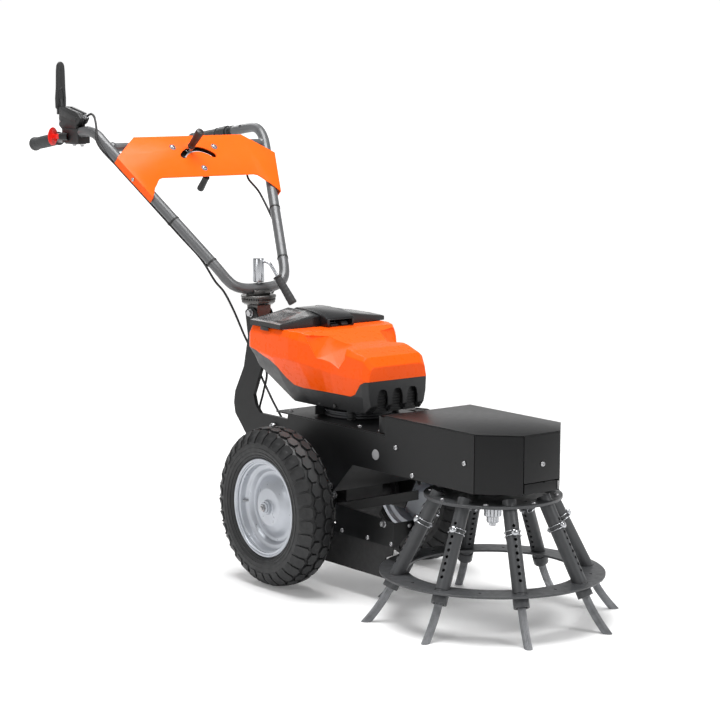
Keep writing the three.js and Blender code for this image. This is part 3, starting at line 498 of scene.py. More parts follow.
def chassis_hardware():
    screws = bmesh.new()
    right = -PLATE_X - 0.1
    for y, z in ((-350.6, 387.9), (-412.2, 330.2), (-597.7, 387.6)):
        dome_screw(screws, (right, y, z), (-1, 0, 0), 6.2, 3.6)
        dome_screw(screws, (-right, y, z), (1, 0, 0), 6.2, 3.6)
    dome_screw(screws, (2, COVER_FRONT + 0.4, 388.3), (0, -1, 0), 6.2, 3.6)
    for y, z in ((-98.4, 255.5), (-114.4, 235.4)):
        hex_bolt(screws, (right, y, z), (-1, 0, 0), 11, 5.5, 8.5)
        hex_bolt(screws, (-right, y, z), (1, 0, 0), 11, 5.5, 8.5)
    for x in (-40, 0, 40):
        hex_bolt(screws, (x, BRUSH_Y - 44, FLOOR_Z - 0.1), (0, 0, -1), 10, 5, 8)
    for y, z in ((-145.4, 151.5), (-246, 151.5), (-337, 151.5)):
        dome_screw(screws, (GUARD_FACE_X, y, z), (-1, 0, 0), 5.6, 3.2)
    hex_bolt(screws, (GUARD_FACE_X, -307.8, 196), (-1, 0, 0), 12, 6, 9)
    dome_screw(screws, (-87.8, -345.1, 192), (0, -1, 0), 5.6, 3.2)
    for x in (-110, 110):
        for y in (-260, -180, 100):
            dome_screw(screws, (x, y, 413.2), (0, 0, 1), 5.5, 3)
    finish_piece("chassis_screws", screws, STEEL, "chassis")
    plug = bmesh.new()
    for side in (-1, 1):
        lathe(plug, [(0, 0), (13, 0), (13, 0.8), (11.5, 2.6), (7, 3.6), (0, 3.9)],
              (side * (PLATE_X + 0.1), -274.4, 359.7), (side, 0, 0), 32)
    finish_piece("side_plugs", plug, surface("plug_plastic", (0.22, 0.22, 0.225), 0.36, grain=1500,
                                             depth=0.00003), "chassis", slot_name="black_plastic")
    cap = solid(lathe, [(0, 0), (11, 0), (11, 5), (9.4, 9), (5.5, 12), (0, 13)], (-27.1, 288, 338),
                (-1, 0, 0), 32)
    finish_piece("arm_cap_nut", cap, STEEL, "chassis")


FLAP_TOP = [(-52, 148), (-105, 162), (-340, 162)]
FLAP_BOTTOM = [(-52, 61), (-304, 61), (-311, 113), (-336, 123), (-340, 141)]


def height_along(line, y):
    """The height of a line of (y, z) points that runs forward."""
    for (ya, za), (yb, zb) in zip(line, line[1:]):
        if y >= yb:
            return za + (zb - za) * (ya - y) / (ya - yb)
    return line[-1][1]


def debris_flap():
    """A rubber flap with a slightly wavy lower edge, held behind the bracket's plate."""
    bm = bmesh.new()
    rows = 10
    places = [-52 - 8.4 * i for i in range(30)] + [-304, -307, -309, -311, -318, -325, -331, -336, -338,
                                                   -340]
    front, back = [], []
    for y in places:
        top, bottom = height_along(FLAP_TOP, y), height_along(FLAP_BOTTOM, y)
        for k in range(rows + 1):
            part = k / rows
            z = top + (bottom - top) * part
            wave = 0.9 * part * part * math.sin(y / 23.0) + 0.5 * part * math.sin(y / 9.0)
            front.append(bm.verts.new((FLAP_X - 3.6 + wave * 0.3, y, z)))
            back.append(bm.verts.new((FLAP_X - 0.2 + wave * 0.3, y, z)))
    step = rows + 1
    columns = len(places) - 1
    for i in range(columns):
        for k in range(rows):
            a = i * step + k
            bm.faces.new((front[a], front[a + 1], front[a + step + 1], front[a + step]))
            bm.faces.new((back[a], back[a + step], back[a + step + 1], back[a + 1]))
        for k in (0, rows):
            a = i * step + k
            bm.faces.new((front[a], front[a + step], back[a + step], back[a]))
    for i in (0, columns):
        for k in range(rows):
            a = i * step + k
            bm.faces.new((front[a], front[a + 1], back[a + 1], back[a]))
    bmesh.ops.recalc_face_normals(bm, faces=bm.faces)
    finish_piece("rubber_flap", bm, SOFT_RUBBER, "chassis", ["debris_flap"])


belt_cover()
chassis_hardware()
debris_flap()

# ---------------------------------------------------------------- power unit
MOTOR_AXIS = (0, -40, 0)
VENTS_X = (-47, 0, 47)
# y, half widths from the top edge down, heights from the top edge down
BODY = [
    (-191, (74, 86, 92, 90, 84), (556, 548, 522, 484, 458)),
    (-172, (84, 94, 98, 96, 88), (578, 569, 524, 482, 440)),
    (-120, (90, 102, 106, 100, 88), (592, 578, 526, 480, 437)),
    (-65, (96, 108, 112, 104, 88), (600, 582, 530, 480, 437)),
    (-42, (104, 118, 122, 106, 90), (607, 588, 536, 480, 437)),
    (10, (146, 156, 156, 114, 94), (626, 606, 552, 482, 437)),
    (40, (157, 164.5, 165, 118, 95), (628, 611, 556, 482, 437)),
    (105, (159, 167, 167.5, 126, 96), (628, 611, 556, 482, 437)),
    (200, (158, 166, 167, 148, 136), (628, 611, 572, 545, 520)),
    (212, (150, 160, 161, 144, 132), (622, 606, 572, 549, 526)),
]
SEAM = [(230, 578), (176, 566), (149, 553), (124, 546), (104, 533), (84, 503), (68, 486), (40, 481),
        (-130, 479), (-146, 486), (-164, 511), (-178, 519), (-210, 523)]


# The corners of the scoop's mouth on the machine's left side, in order round it.
SCOOP_MOUTH = [(140.5, 1, 617.4), (81.3, -18.9, 615.6), (53.7, -80.4, 598.2), (103.3, -112.3, 568.8),
               (107.3, -91.9, 544.5), (128.9, -28.2, 565.3)]


def body_mesh(inset=0.0):
    """The power unit as one faceted body, drawn in by an inset."""
    bm = bmesh.new()
    rings = []
    for i, (y, half, heights) in enumerate(BODY):
        shift = inset if i == 0 else (-inset if i == len(BODY) - 1 else 0)
        high = [z - inset if k == 0 else (z + inset if k == 4 else z) for k, z in enumerate(heights)]
        right = [Vector((-(h - inset), y + shift, z)) for h, z in zip(half, high)]
        left = [Vector((-p.x, p.y, p.z)) for p in reversed(right)]
        rings.append([bm.verts.new(p) for p in right + left])
    for a, b in zip(rings, rings[1:]):
        for k in range(10):
            bm.faces.new((a[k], a[(k + 1) % 10], b[(k + 1) % 10], b[k]))
    bm.faces.new(rings[0])
    bm.faces.new(rings[-1][::-1])
    bmesh.ops.recalc_face_normals(bm, faces=bm.faces)
    return bm


def seam_block(drop, top):
    """All space above the seam between shell and base, or all space below it."""
    bm = bmesh.new()
    line = [(y, z - drop) for y, z in SEAM]
    end = 720 if top else 380
    side_prism(bm, line + [(-210, end), (230, end)], -220, 220)
    bmesh.ops.triangulate(bm, faces=bm.faces)
    return bm


def power_unit():
    outer = rounded(body_mesh(), 2.4, 3, 5)
    for side in (-1, 1):
        mouth = [Vector((side * x, y, z)) for x, y, z in SCOOP_MOUTH]
        outward = Vector((side * 45, -25, 30))
        scoop = solid(hull, mouth + [point + outward for point in mouth] + [Vector((side * 92, -46, 576))])
        outer = carved(outer, scoop)
    unit = outer
    for low, high, half in ((430, 558, 84), (554, 640, 46)):
        room = bmesh.new()
        plan = mirrored([(-150, 210), (-150, 64), (-half, 24), (-half, -186)])
        prism(room, [(x, y, low) for x, y in plan], (0, 0, high - low))
        bmesh.ops.triangulate(room, faces=room.faces)
        hollow = carved(with_modifier(body_mesh(4.0), "TRIANGULATE"), room, "INTERSECT")
        unit = carved(unit, hollow)
    bay = solid(box_solid, (-150, 74, 560), (150, 194, 700))
    unit = carved(unit, bay)
    base_copy = unit.copy()
    shell = carved(unit, seam_block(0, True), "INTERSECT")
    finish_piece("power_shell_cover", rounded(shell, 0.9, 2, 24), ORANGE_PLASTIC, "chassis",
                 ["power_shell"], smooth=34, faceted=True)
    base = carved(base_copy, seam_block(0.5, False), "INTERSECT")
    vents = bmesh.new()
    for x in VENTS_X:
        arch = mirrored([(-17, 400), (-17, 478), (-13, 493), (-7, 499)])
        prism(vents, [(x + offset, -230, z) for offset, z in arch], (0, 51, 0))
    base = carved(base, vents)
    shaft_hole = solid(cylinder, 15, 425, 475, MOTOR_AXIS, Z, 40)
    base = carved(base, shaft_hole)
    finish_piece("power_base_tray", rounded(base, 0.9, 2, 30), BASE_PLASTIC, "chassis", ["power_base"],
                 slot_name="black_plastic", smooth=34, faceted=True)
    ribs = bmesh.new()
    for x in VENTS_X:
        box_solid(ribs, (x - 19, -178.8, 441), (x + 19, -176, 506))
        for z in range(446, 488, 7):
            box_solid(ribs, (x - 15.5, -181.5, z), (x + 15.5, -178.2, z + 2.6))
    for side in (-1, 1):
        for y in (-96, 24):
            lathe(ribs, [(0, 0), (12, 0), (12, 4), (9.5, 6), (9.5, 17), (12, 19), (12, 23), (0, 23)],
                  (side * 70, y, 413.6), (0, 0, 1), 28)
        box_solid(ribs, (side * 88 - 14, 8, 416), (side * 88 + 14, 12, 438))
    for y in (-60, 0):
        rod(ribs, (-97, y, 446), (-86, y, 446), 5, 20)
    finish_piece("vent_grilles_and_feet", ribs, BLACK_PLASTIC, "chassis")
    motor = solid(lathe, [(12, 413.8), (86, 413.8), (88, 416), (88, 420), (84, 422), (84, 426), (88, 428),
                          (88, 431), (72, 433), (70, 436), (70, 536), (66, 542), (55, 548), (12, 548)],
                  MOTOR_AXIS, Z, 64, closed=True)
    finish_piece("motor_body", motor, MOTOR_ALLOY, "chassis", ["motor"])


def lid_height(x, y):
    """Crown of the lids: lowest at the outer edge, highest beside the bridge, falling to the front."""
    across = (168 - abs(x)) / 124
    along = min(1, (y - 68) / 50)
    return 643.5 + 15 * max(0, across) ** 1.25 + 7.0 * along * across - 2.0 * (1 - along)


def lid(side, name, body):
    """A thin crowned lid with rounded corners, a sunk middle and skirts at its outer and front edges."""
    inner, outer, back, front = 44.6, 167.6, 202.4, 68.4
    columns, rows = 22, 22
    bm = bmesh.new()
    top, under = {}, {}
    for i in range(columns + 1):
        x = inner + (outer - inner) * i / columns
        for k in range(rows + 1):
            y = front + (back - front) * k / rows
            corner = max(0, i - columns + 3) * 0.9 * (1 if k < 3 or k > rows - 3 else 0)
            cut = min(max(y, front + corner), back - corner)
            edge = min(1, min(i, columns - i, k, rows - k) / 1.5 + 0.34)
            z = lid_height(x, y) - 3.0 * (1 - edge) ** 1.5
            if 5 <= i <= columns - 4 and 4 <= k <= rows - 4:
                z -= 1.1
            top[i, k] = bm.verts.new((side * x, cut, z))
            deep = 629.2 if i == columns or k == 0 else z - 4.2
            under[i, k] = bm.verts.new((side * x, cut, min(deep, z - 3)))
    for i in range(columns):
        for k in range(rows):
            bm.faces.new((top[i, k], top[i + 1, k], top[i + 1, k + 1], top[i, k + 1]))
            bm.faces.new((under[i, k], under[i, k + 1], under[i + 1, k + 1], under[i + 1, k]))
    for i in range(columns):
        for k in (0, rows):
            bm.faces.new((top[i, k], top[i + 1, k], under[i + 1, k], under[i, k]))
    for k in range(rows):
        for i in (0, columns):
            bm.faces.new((top[i, k], top[i, k + 1], under[i, k + 1], under[i, k]))
    tab = bmesh.new()
    edges = sorted((side * 167.9, side * 169.8))
    box_solid(tab, (edges[0], 118, 621), (edges[1], 152, 630))
    finish_piece(f"{name}_panel", bm, LID_PLASTIC, body, [name], slot_name="black_plastic", smooth=24)
    finish_piece(f"{name}_catch", rounded(tab, 0.6), BLACK_PLASTIC, "chassis")


def bridge():
    """The hood between the lids, with a hollow front that shelters the release hook."""
    section = [(37.4, 629), (37.4, 648), (40, 651.5), (60, 658), (98, 663.5), (136, 667), (172, 667),
               (190, 660), (202.6, 650), (202.6, 629)]
    bm = solid(side_prism, section, -43, 43)
    bm = rounded(bm, 3.0, 3, 30)
    mouth = solid(side_prism, [(30, 620), (30, 644), (52, 650), (110, 650), (110, 620)], -36, 36)
    bm = carved(bm, mouth)
    finish_piece("bridge_hood", rounded(bm, 0.7), LID_PLASTIC, "chassis", ["lid_bridge"],
                 slot_name="black_plastic")
    hook = solid(side_prism, [(42, 629), (42, 634), (47, 640), (70, 643), (70, 629)], 6, 26)
    side_prism(hook, [(43, 629), (43, 634), (60, 637), (60, 629)], -28, -4)
    finish_piece("release_hook", rounded(hook, 1.2), BLACK_PLASTIC, "chassis")


power_unit()
lid(-1, "lid_right", "right_lid")
lid(1, "lid_left", "left_lid")
bridge()


# ---------------------------------------------------------------- wheels
WHEEL_X = 231.6
AXLE_Z = 200
# The tread curve from the crown to the shoulder, as (radius, distance from the tyre's middle).
CROWN = [(193.6, 0), (192.6, 14), (190.2, 26), (185.4, 36), (178, 44), (169, 48.4), (158, 50.4)]


def crown_point(s):
    """A point and outward normal on the tread curve, by distance from the crown; sign gives the side."""
    side = -1 if s < 0 else 1
    rest = abs(s)
    for (r0, x0), (r1, x1) in zip(CROWN, CROWN[1:]):
        step = math.hypot(r1 - r0, x1 - x0)
        if rest <= step or (r1, x1) == CROWN[-1]:
            part = min(1, rest / step)
            normal = Vector((x1 - x0, r0 - r1)).normalized()
            return r0 + (r1 - r0) * part, side * (x0 + (x1 - x0) * part), normal.x, side * normal.y
        rest -= step
    return CROWN[-1][0], side * CROWN[-1][1], 0, side


def tread_block(bm, centre_x, outline, height):
    """A raised rubber block; the outline is (angle, distance along the tread curve)."""
    rings = []
    middle = sum((Vector(p) for p in outline), Vector((0, 0))) / len(outline)
    for lift, shrink in ((-1.5, 1.0), (height - 0.9, 0.985), (height, 0.93)):
        ring = []
        for point in outline:
            angle, s = middle + (Vector(point) - middle) * shrink
            r, x, nr, nx = crown_point(s)
            fade = 1 if abs(s) < 45 else max(0.45, 1 - (abs(s) - 45) / 30)
            r, x = r + nr * lift * fade, x + nx * lift * fade
            ring.append(bm.verts.new((centre_x + x, r * math.cos(angle), AXLE_Z + r * math.sin(angle))))
        rings.append(ring)
    count = len(outline)
    for a, b in zip(rings, rings[1:]):
        for k in range(count):
            bm.faces.new((a[k], a[(k + 1) % count], b[(k + 1) % count], b[k]))
    bm.faces.new(rings[-1])
    bm.faces.new(rings[0][::-1])


def wheel(side, name):
    """A lugged tyre on a dished rim, with its nut and valve stem."""
    centre = side * WHEEL_X
    middle = (centre, 0, AXLE_Z)
    body = f"wheel_{name}"
    tyre = bmesh.new()
    outer = [(r, x) for r, x in CROWN] + [(146, 50.8), (136, 48.4), (129, 44.5), (125.4, 40.5),
                                          (124.4, 37.4)]
    inner = [(113.6, 37.2), (113.6, 30.5), (150, 42), (176, 36), (186, 0)]
    half = outer + inner
    loop = half + [(r, -x) for r, x in reversed(half[1:-1])]
    lathe(tyre, loop, middle, X, 120, closed=True)
    for ring, x in ((150, 50.9), (140, 49.9), (132, 47.0)):
        for s in (-1, 1):
            lathe(tyre, [(ring - 1.2, s * (x - 1.5)), (ring - 0.8, s * (x + 0.5)),
                         (ring + 0.8, s * (x + 0.5)), (ring + 1.2, s * (x - 1.5))], middle, X, 120,
                  closed=True)
    count = 34
    pitch = 2 * math.pi / count
    for i in range(count):
        for row, s0 in ((0, -13.2), (1, 13.2)):
            a = pitch * (i + 0.5 * row)
            wide, long = 12.2, 0.44 * pitch
            hexagon = [(a - long, s0 - wide * 0.5), (a - long, s0 + wide * 0.5), (a, s0 + wide),
                       (a + long, s0 + wide * 0.5), (a + long, s0 - wide * 0.5), (a, s0 - wide)]
            tread_block(tyre, centre, hexagon, 5.9)
        for flip in (-1, 1):
            a = pitch * (i + (0.5 if flip < 0 else 0))
            long = 0.43 * pitch
            lug = [(a - long * 0.6, flip * 27.5), (a - long, flip * 33), (a - long, flip * 52),
                   (a - long * 0.7, flip * 66), (a + long * 0.7, flip * 66), (a + long, flip * 52),
                   (a + long, flip * 33), (a + long * 0.6, flip * 27.5)]
            lug = lug if flip < 0 else lug[::-1]
            tread_block(tyre, centre, lug, 5.2)
    finish_piece(f"tyre_tread_{name}", tyre, TYRE_RUBBER, body, [f"tyre_{name}"], smooth=30)
    rim = bmesh.new()
    profile = [(0, 39), (13, 39), (14, 38), (14, 34), (17, 33.4), (17.6, 32), (17.6, 26), (20, 24.6),
               (44, 24), (47, 23.4), (49, 22), (58, 18.6), (66, 12.5), (73, 6.4), (77, 4), (80, 3),
               (85, 2.8), (88, 4), (90.5, 8), (92.5, 12.4), (95, 15), (98, 15.8), (102.5, 16.6),
               (105, 18.4), (106.6, 22), (107.6, 28), (109, 31.4), (111.5, 32.8), (114, 33.8), (115.4, 36),
               (117, 39.4), (119.4, 41.2), (121.6, 41.4), (123, 40.4), (123.3, 39.2), (122.6, 38.2),
               (112.6, 37.9), (112.6, 31), (108.5, 17.5), (101.5, 11), (101.5, -24), (112.6, -29),
               (112.6, -37.8), (122.6, -38.4), (123.2, -40), (121, -41.4), (112, -41), (109, -31),
               (98, -28), (97, 0), (84, -2), (60, 8), (24, 16), (24, -46), (10, -46), (10, -51.8),
               (0, -51.8)]
    lathe(rim, [(r, side * h) for r, h in profile], middle, X, 96)
    finish_piece(f"rim_dish_{name}", rim, SILVER_PAINT, body, [f"rim_{name}"], smooth=26)
    nut = bmesh.new()
    hub = Vector((centre + side * 34, 0, AXLE_Z))
    cylinder(nut, 13.5, 0, 1.6, hub, X * side, 32)
    lathe(nut, [(0, 1.4), (9.8, 1.4), (9.8, 8), (8.8, 9.4), (5.6, 9.6), (5.2, 13), (4.4, 13.8), (0, 13.9)],
          hub, X * side, 6)
    stem = Vector((centre + side * 14, 98, AXLE_Z))
    rod(nut, stem, stem + Vector((side * 13, 5, 0)), 3.2, 14)
    finish_piece(f"hub_nut_{name}", nut, STEEL, body)


wheel(-1, "right")
wheel(1, "left")


# ---------------------------------------------------------------- handlebar
POST_Y = 395
POST = (0, POST_Y, 0)
# The legs of the handlebar lie in a sloping plane and spread as they rise from LEG_FOOT.
LEG_UP = Vector((0, 294.5, 310)).normalized()
LEG_FRONT = Vector((0, -LEG_UP.z, LEG_UP.y))
LEG_FOOT = Vector((0, 438.9, 760))
LEG_FOOT_X, LEG_SPREAD = 113.1, 0.3503
# Distances of the panel's sheet in front of the legs, and of the crossbar and shift pivot up them.
PANEL = 15.2
CROSSBAR_UP = 413
SHIFT_PIVOT = 318
BAR = [(-267, 1088, 1056.5), (-267, 964, 1075.5), (-269, 880, 1089), (-272, 824, 1098), (-272.5, 790, 1100),
       (-269, 762, 1092), (-262.9, 733.4, 1070), (-220, 648.9, 981.4), (-170, 550.5, 877.9),
       (-113.1, 438.9, 760), (-104, 421.5, 740.5), (-94, 408, 722), (-78, 399.5, 706), (-56, 396, 697.5),
       (-30, 396, 694), (0, 396, 694)]


def on_legs(x, up, front=0.0):
    """A point by its x, its distance up the legs, and its distance in front of their plane."""
    return LEG_FOOT + LEG_UP * up + LEG_FRONT * front + X * x


def leg_axis(side, up):
    """A point on the centre line of one leg."""
    return on_legs(side * (LEG_FOOT_X + LEG_SPREAD * up), up)


def handlebar():
    full = BAR + [(-x, y, z) for x, y, z in reversed(BAR[:-1])]
    bm = solid(sweep, curve_points(full, 230), 14, 28)
    reach = LEG_FOOT_X + LEG_SPREAD * CROSSBAR_UP
    sweep(bm, [on_legs(x, CROSSBAR_UP) for x in (-reach, -60, 60, reach)], 12, 28)
    for side in (-1, 1):
        end = on_legs(side * reach, CROSSBAR_UP)
        lathe(bm, [(12.1, 8), (14.2, 14.4), (14.6, 12.6), (13.6, 17.6), (12.1, 19.5)], end, X * -side, 28)
    finish_piece("handlebar_frame", bm, GREY_PAINT, "handlebar", ["handlebar_tube"])
    bands = bmesh.new()
    for side, ups in ((-1, (152, 7)), (1, (176, 4))):
        for up in ups:
            along = (leg_axis(side, up + 1) - leg_axis(side, up)).normalized()
            lathe(bands, [(14.0, -2.6), (15.2, -2.3), (15.2, 2.3), (14.0, 2.6)], leg_axis(side, up), along,
                  28, closed=True)
            knot = leg_axis(side, up) + X * side * 12 - LEG_FRONT * 12
            rod(bands, knot - along * 4, knot + along * 4, 3.4, 12)
    finish_piece("cable_ties", bands, BLACK_PLASTIC, "handlebar")
    rings = bmesh.new()
    left = Vector((267.8, 912, 1084.2))
    back = Vector((-1.5, 84, -13.5)).normalized()
    for k in range(4):
        lathe(rings, [(14.0, -1.5), (15.4, -0.9), (15.4, 0.9), (14.0, 1.5)], left - back * (6 + k * 5),
              back, 28, closed=True)
    hole = Vector((268.6, 848, 1094.3))
    lathe(rings, [(0, 13.2), (3.4, 13.2), (3.6, 14.3), (0, 14.4)], hole, Vector((-0.7, -0.2, 0.7)), 16)
    finish_piece("bar_rings", rings, BLACK_PLASTIC, "handlebar")


def panel_prism(bm, outline, front, depth):
    """An outline of (x, up) points, carried forward from the plane of the legs."""
    prism(bm, [on_legs(x, up, front) for x, up in outline], LEG_FRONT * depth)


def edge_x(up):
    """Half the width of the panel at a distance up the legs."""
    return LEG_FOOT_X + LEG_SPREAD * up + 19.5


def arc(centre, radius, start, stop, steps):
    """Points on an arc in the panel's plane, both ends included."""
    turns = [start + (stop - start) * i / steps for i in range(steps + 1)]
    return [(centre[0] + radius * math.cos(turn), centre[1] + radius * math.sin(turn)) for turn in turns]


def slot_outline(inner, outer, half_angle, steps=18):
    """A curved slot about the shift pivot with round ends."""
    pivot = (0, SHIFT_PIVOT)
    start, end = math.pi / 2 - half_angle, math.pi / 2 + half_angle
    first, last = arc(pivot, (inner + outer) / 2, start, end, 1)
    radius = (outer - inner) / 2
    points = arc(pivot, outer, start, end, steps) + arc(last, radius, end, end + math.pi, 7)[1:-1]
    points += arc(pivot, inner, end, start, steps)
    return points + arc(first, radius, start + math.pi, start + 2 * math.pi, 7)[1:-1]


def control_panel():
    half = [(-177, 432), (-edge_x(362), 362), (-edge_x(221), 221), (-188, 254), (-178, 264), (-169, 275),
            (-161, 283), (-150, 286.4)]
    bm = solid(panel_prism, mirrored(half), PANEL, 2.5)
    bm = rounded(bm, 0.7, 2)
    slot = solid(panel_prism, slot_outline(56, 74, math.radians(49)), PANEL - 4, 12)
    bm = carved(bm, slot)
    for side in (-1, 1):
        front = [on_legs(side * (edge_x(up) - 0.2), up, PANEL + 1.2) for up in (221.5, 361.5)]
        back = [p - LEG_FRONT * 20.5 for p in front]
        strip = solid(hull, [p - X * side * shift for p in (*front, *back) for shift in (0, 2.2)])
        absorb(bm, rounded(strip, 0.6))
    finish_piece("panel_sheet", bm, ORANGE_PAINT, "handlebar", ["control_panel"])

    steel = bmesh.new()
    for x, up in ((-70, 392), (66, 390), (-2, 315)):
        point = on_legs(x, up, PANEL + 2.4)
        lathe(steel, [(0, 0), (9.6, 0), (9.6, 0.9), (9.0, 1.5), (0, 1.5)], point, LEG_FRONT, 28)
        dome_screw(steel, point + LEG_FRONT * 1.2, LEG_FRONT, 6.4, 3.6)
    for side in (-1, 1):
        dome_screw(steel, on_legs(side * (edge_x(294) + 0.1), 294, PANEL - 9), X * side, 5.4, 3.0)
    finish_piece("panel_screws", steel, CHROME, "handlebar")

    corners = [(-78, 322), (-86, 372), (-60, 402), (0, 408), (60, 402), (86, 372), (78, 322), (0, 304)]
    gate = solid(panel_prism, corners, 1.5, 2.6)
    gate = rounded(gate, 0.6)
    for x, up, radius in ((0, SHIFT_PIVOT, 10.2), (36, 329.3, 8.2)):
        hole = solid(cylinder, radius, -12, 12, on_legs(x, up, 2.8), LEG_FRONT)
        gate = carved(gate, hole)
    finish_piece("gate_plate", gate, BLACK_PAINT, "handlebar")
    # The silver lip along the slot's inner edge is a metal edge, and its light tone is also a painted
    # highlight for the bright arcs on the slot's lower rim.
    lip = solid(panel_prism, slot_outline(56.2, 60.0, math.radians(47)), PANEL - 1.1, 1.6)
    finish_piece("slot_lip", lip, SILVER_PAINT, "handlebar")


def grip_pieces():
    for side, name in ((-1, "right"), (1, "left")):
        start, end = Vector((side * 267, 962, 1075.8)), Vector((side * 267, 1097, 1055.2))
        along = (end - start).normalized()
        length = (end - start).length
        profile = [(14.4, 0), (17.4, 0.2), (18.8, 1.2), (18.8, 4.5), (17.2, 6)]
        for k in range(22):
            at = 8 + k * (length - 26) / 22
            swell = 0.5 * math.sin(math.pi * k / 21)
            profile += [(16.4 + swell, at), (16.9 + swell, at + 1.3), (16.9 + swell, at + 3.6),
                        (16.4 + swell, at + 4.9)]
        profile += [(17, length - 13), (18.6, length - 10.5), (19.4, length - 7), (19.4, length - 3),
                    (18.2, length - 0.9), (15, length), (5, length), (3.4, length - 1.2), (0, length - 1.2)]
        bm = solid(lathe, profile, start, along, 40)
        finish_piece(f"grip_sleeve_{name}", bm, GRIP_RUBBER, "handlebar", [f"grip_{name}"],
                     slot_name="soft_rubber", smooth=50)


# The middle of the safety latch's button and the way it faces.
LATCH_HUB = Vector((-309, 929, 1083.5))
LATCH_FACING = Vector((-0.45, 0.893, 0)).normalized()


def lever_perches():
    """The clamp and pivot blocks of the two hand levers, with their bolts."""
    bm = bmesh.new()
    head = [(934, 1164), (907, 1164), (838, 1149), (822, 1134), (833, 1121), (845, 1116), (845, 1100),
            (917, 1100), (936, 1112)]
    for low, high in ((-283.5, -275), (-262, -253.5)):
        cheek = solid(side_prism, head, low, high)
        absorb(bm, rounded(cheek, 2.2, 3))
    core = solid(side_prism, [(912, 1162), (840, 1147), (826, 1134), (850, 1112), (912, 1102)], -276, -261)
    block = solid(box_solid, (-285.5, 832, 1066), (-247, 917, 1106))
    lower = solid(box_solid, (-283, 846, 1063.4), (-251, 905, 1080))
    rib = solid(side_prism, [(925, 1158), (846, 1141), (838, 1134), (850, 1124), (925, 1140)], -284.6, -282)
    absorb(bm, rounded(core, 1.2), rounded(block, 2.2, 3), rounded(lower, 1.5), rounded(rib, 0.8))
    lathe(bm, [(8.3, -28), (10.4, -27.2), (10.4, -52), (8.3, -52)], LATCH_HUB, LATCH_FACING, 28,
          closed=True)
    finish_piece("perch_body_right", bm, BLACK_PLASTIC, "handlebar", ["lever_perch_right"])
    metal = solid(rod, (-285, 930, 1124), (-252, 930, 1124), 4.2, 20)
    for y in (856, 896):
        hex_bolt(metal, (-258, y, 1062), (0, 0, -1), 8, 4, 6)
    lathe(metal, [(0, 0), (5.2, 0), (5.2, 6), (4.4, 7), (4.4, 10), (5.4, 11), (5.4, 16), (3.6, 19),
                  (0, 19)], (-266, 832, 1136), Vector((0, -0.93, 0.25)), 20)
    finish_piece("perch_bolts_right", metal, STEEL, "handlebar")
    left = bmesh.new()
    start = Vector((267, 914, 1083.1))
    along = Vector((0, 135, -20.6)).normalized()
    lathe(left, [(14.4, 0), (17.8, 0), (19, 1.2), (19, 38.8), (17.8, 40), (14.4, 40)], start, along, 36,
          closed=True)
    for low, high in ((256.0, 259.4), (274.6, 278.0)):
        cheek = solid(side_prism, [(918, 1070), (922, 1046), (946, 1046), (950, 1068)], low, high)
        absorb(left, rounded(cheek, 1))
    finish_piece("perch_body_left", left, BLACK_PLASTIC, "handlebar", ["lever_perch_left"])
    metal = solid(rod, (256.5, 934, 1051.3), (277.5, 934, 1051.3), 3.4, 16)
    finish_piece("perch_bolts_left", metal, STEEL, "handlebar")


def hand_levers():
    """The upright drive lever, the brake lever and the red safety latch."""
    blade = bmesh.new()
    outline = [(-274, 1150), (-284.5, 1160), (-285, 1186), (-282.5, 1214), (-281.2, 1262), (-279.6, 1275),
               (-275.6, 1283), (-268.5, 1286.4), (-261.4, 1283), (-257.2, 1275), (-255.8, 1262),
               (-254.6, 1214), (-253, 1186), (-253.5, 1160), (-262, 1150)]
    prism(blade, [(x, 943.5, z) for x, z in outline], (0, 10, 0))
    tongue_side = [(922, 1119), (927, 1115), (937, 1115), (946, 1122), (953, 1150), (953, 1186),
                   (943.6, 1186), (939, 1146), (930, 1134), (922, 1130)]
    tongue = solid(side_prism, tongue_side, -273.6, -263.4)
    strap = solid(side_prism, [(943.5, 1142), (953, 1142), (953, 1186), (943.5, 1186)], -279.6, -258.4)
    bm = absorb(rounded(blade, 3.4, 4), rounded(tongue, 1.6), rounded(strap, 1.6))
    oval = [Vector((-269 + 8.2 * math.cos(a), 943.2, 1184 + 29 * math.sin(a)))
            for a in (2 * math.pi * k / 40 for k in range(40))]
    sweep(bm, oval, 1.7, 10, loop=True)
    spine = [(-268.5, 943.6, z) for z in (1222, 1236, 1250, 1262, 1270)]
    sweep(bm, [Vector(p) for p in spine], 1.4, 8)
    finish_piece("drive_lever_blade", bm, BLACK_PLASTIC, "drive_control", ["drive_lever"])

    brake_side = [(920, 1044), (957, 1043.5), (1005, 1029), (1055, 1012.5), (1076, 1010.5), (1080.5, 1014),
                  (1078, 1018), (1055, 1024), (1008, 1040), (975, 1048), (957, 1055), (939, 1058.6),
                  (920, 1058.6)]
    brake = solid(side_prism, brake_side, 260.4, 273.6)
    finish_piece("brake_lever_blade", rounded(brake, 2.2, 3), BLACK_PLASTIC, "brake_control",
                 ["brake_lever"])

    button = [(0, 3.0), (7, 2.8), (13, 2.1), (18.5, 0.8), (22.6, -0.9), (24.7, -2.2), (24.9, -2.8),
              (24.2, -3.0), (17, -2.2), (9, -2.4), (6, -3), (0, -3)]
    latch = solid(lathe, button, LATCH_HUB, LATCH_FACING, 56)
    u = LATCH_FACING.cross(Z).normalized()
    for behind, half_width, half_height, length in ((2.5, 5.4, 5.6, 31), (17, 5.0, 6.8, 3)):
        corners = [LATCH_HUB - LATCH_FACING * behind + u * a * half_width + Z * b * half_height
                   for a, b in ((-1, -1), (1, -1), (1, 1), (-1, 1))]
        prism(latch, corners, -LATCH_FACING * length)
    finish_piece("safety_latch_button", rounded(latch, 0.7), RED_PLASTIC, "latch", ["safety_latch"])


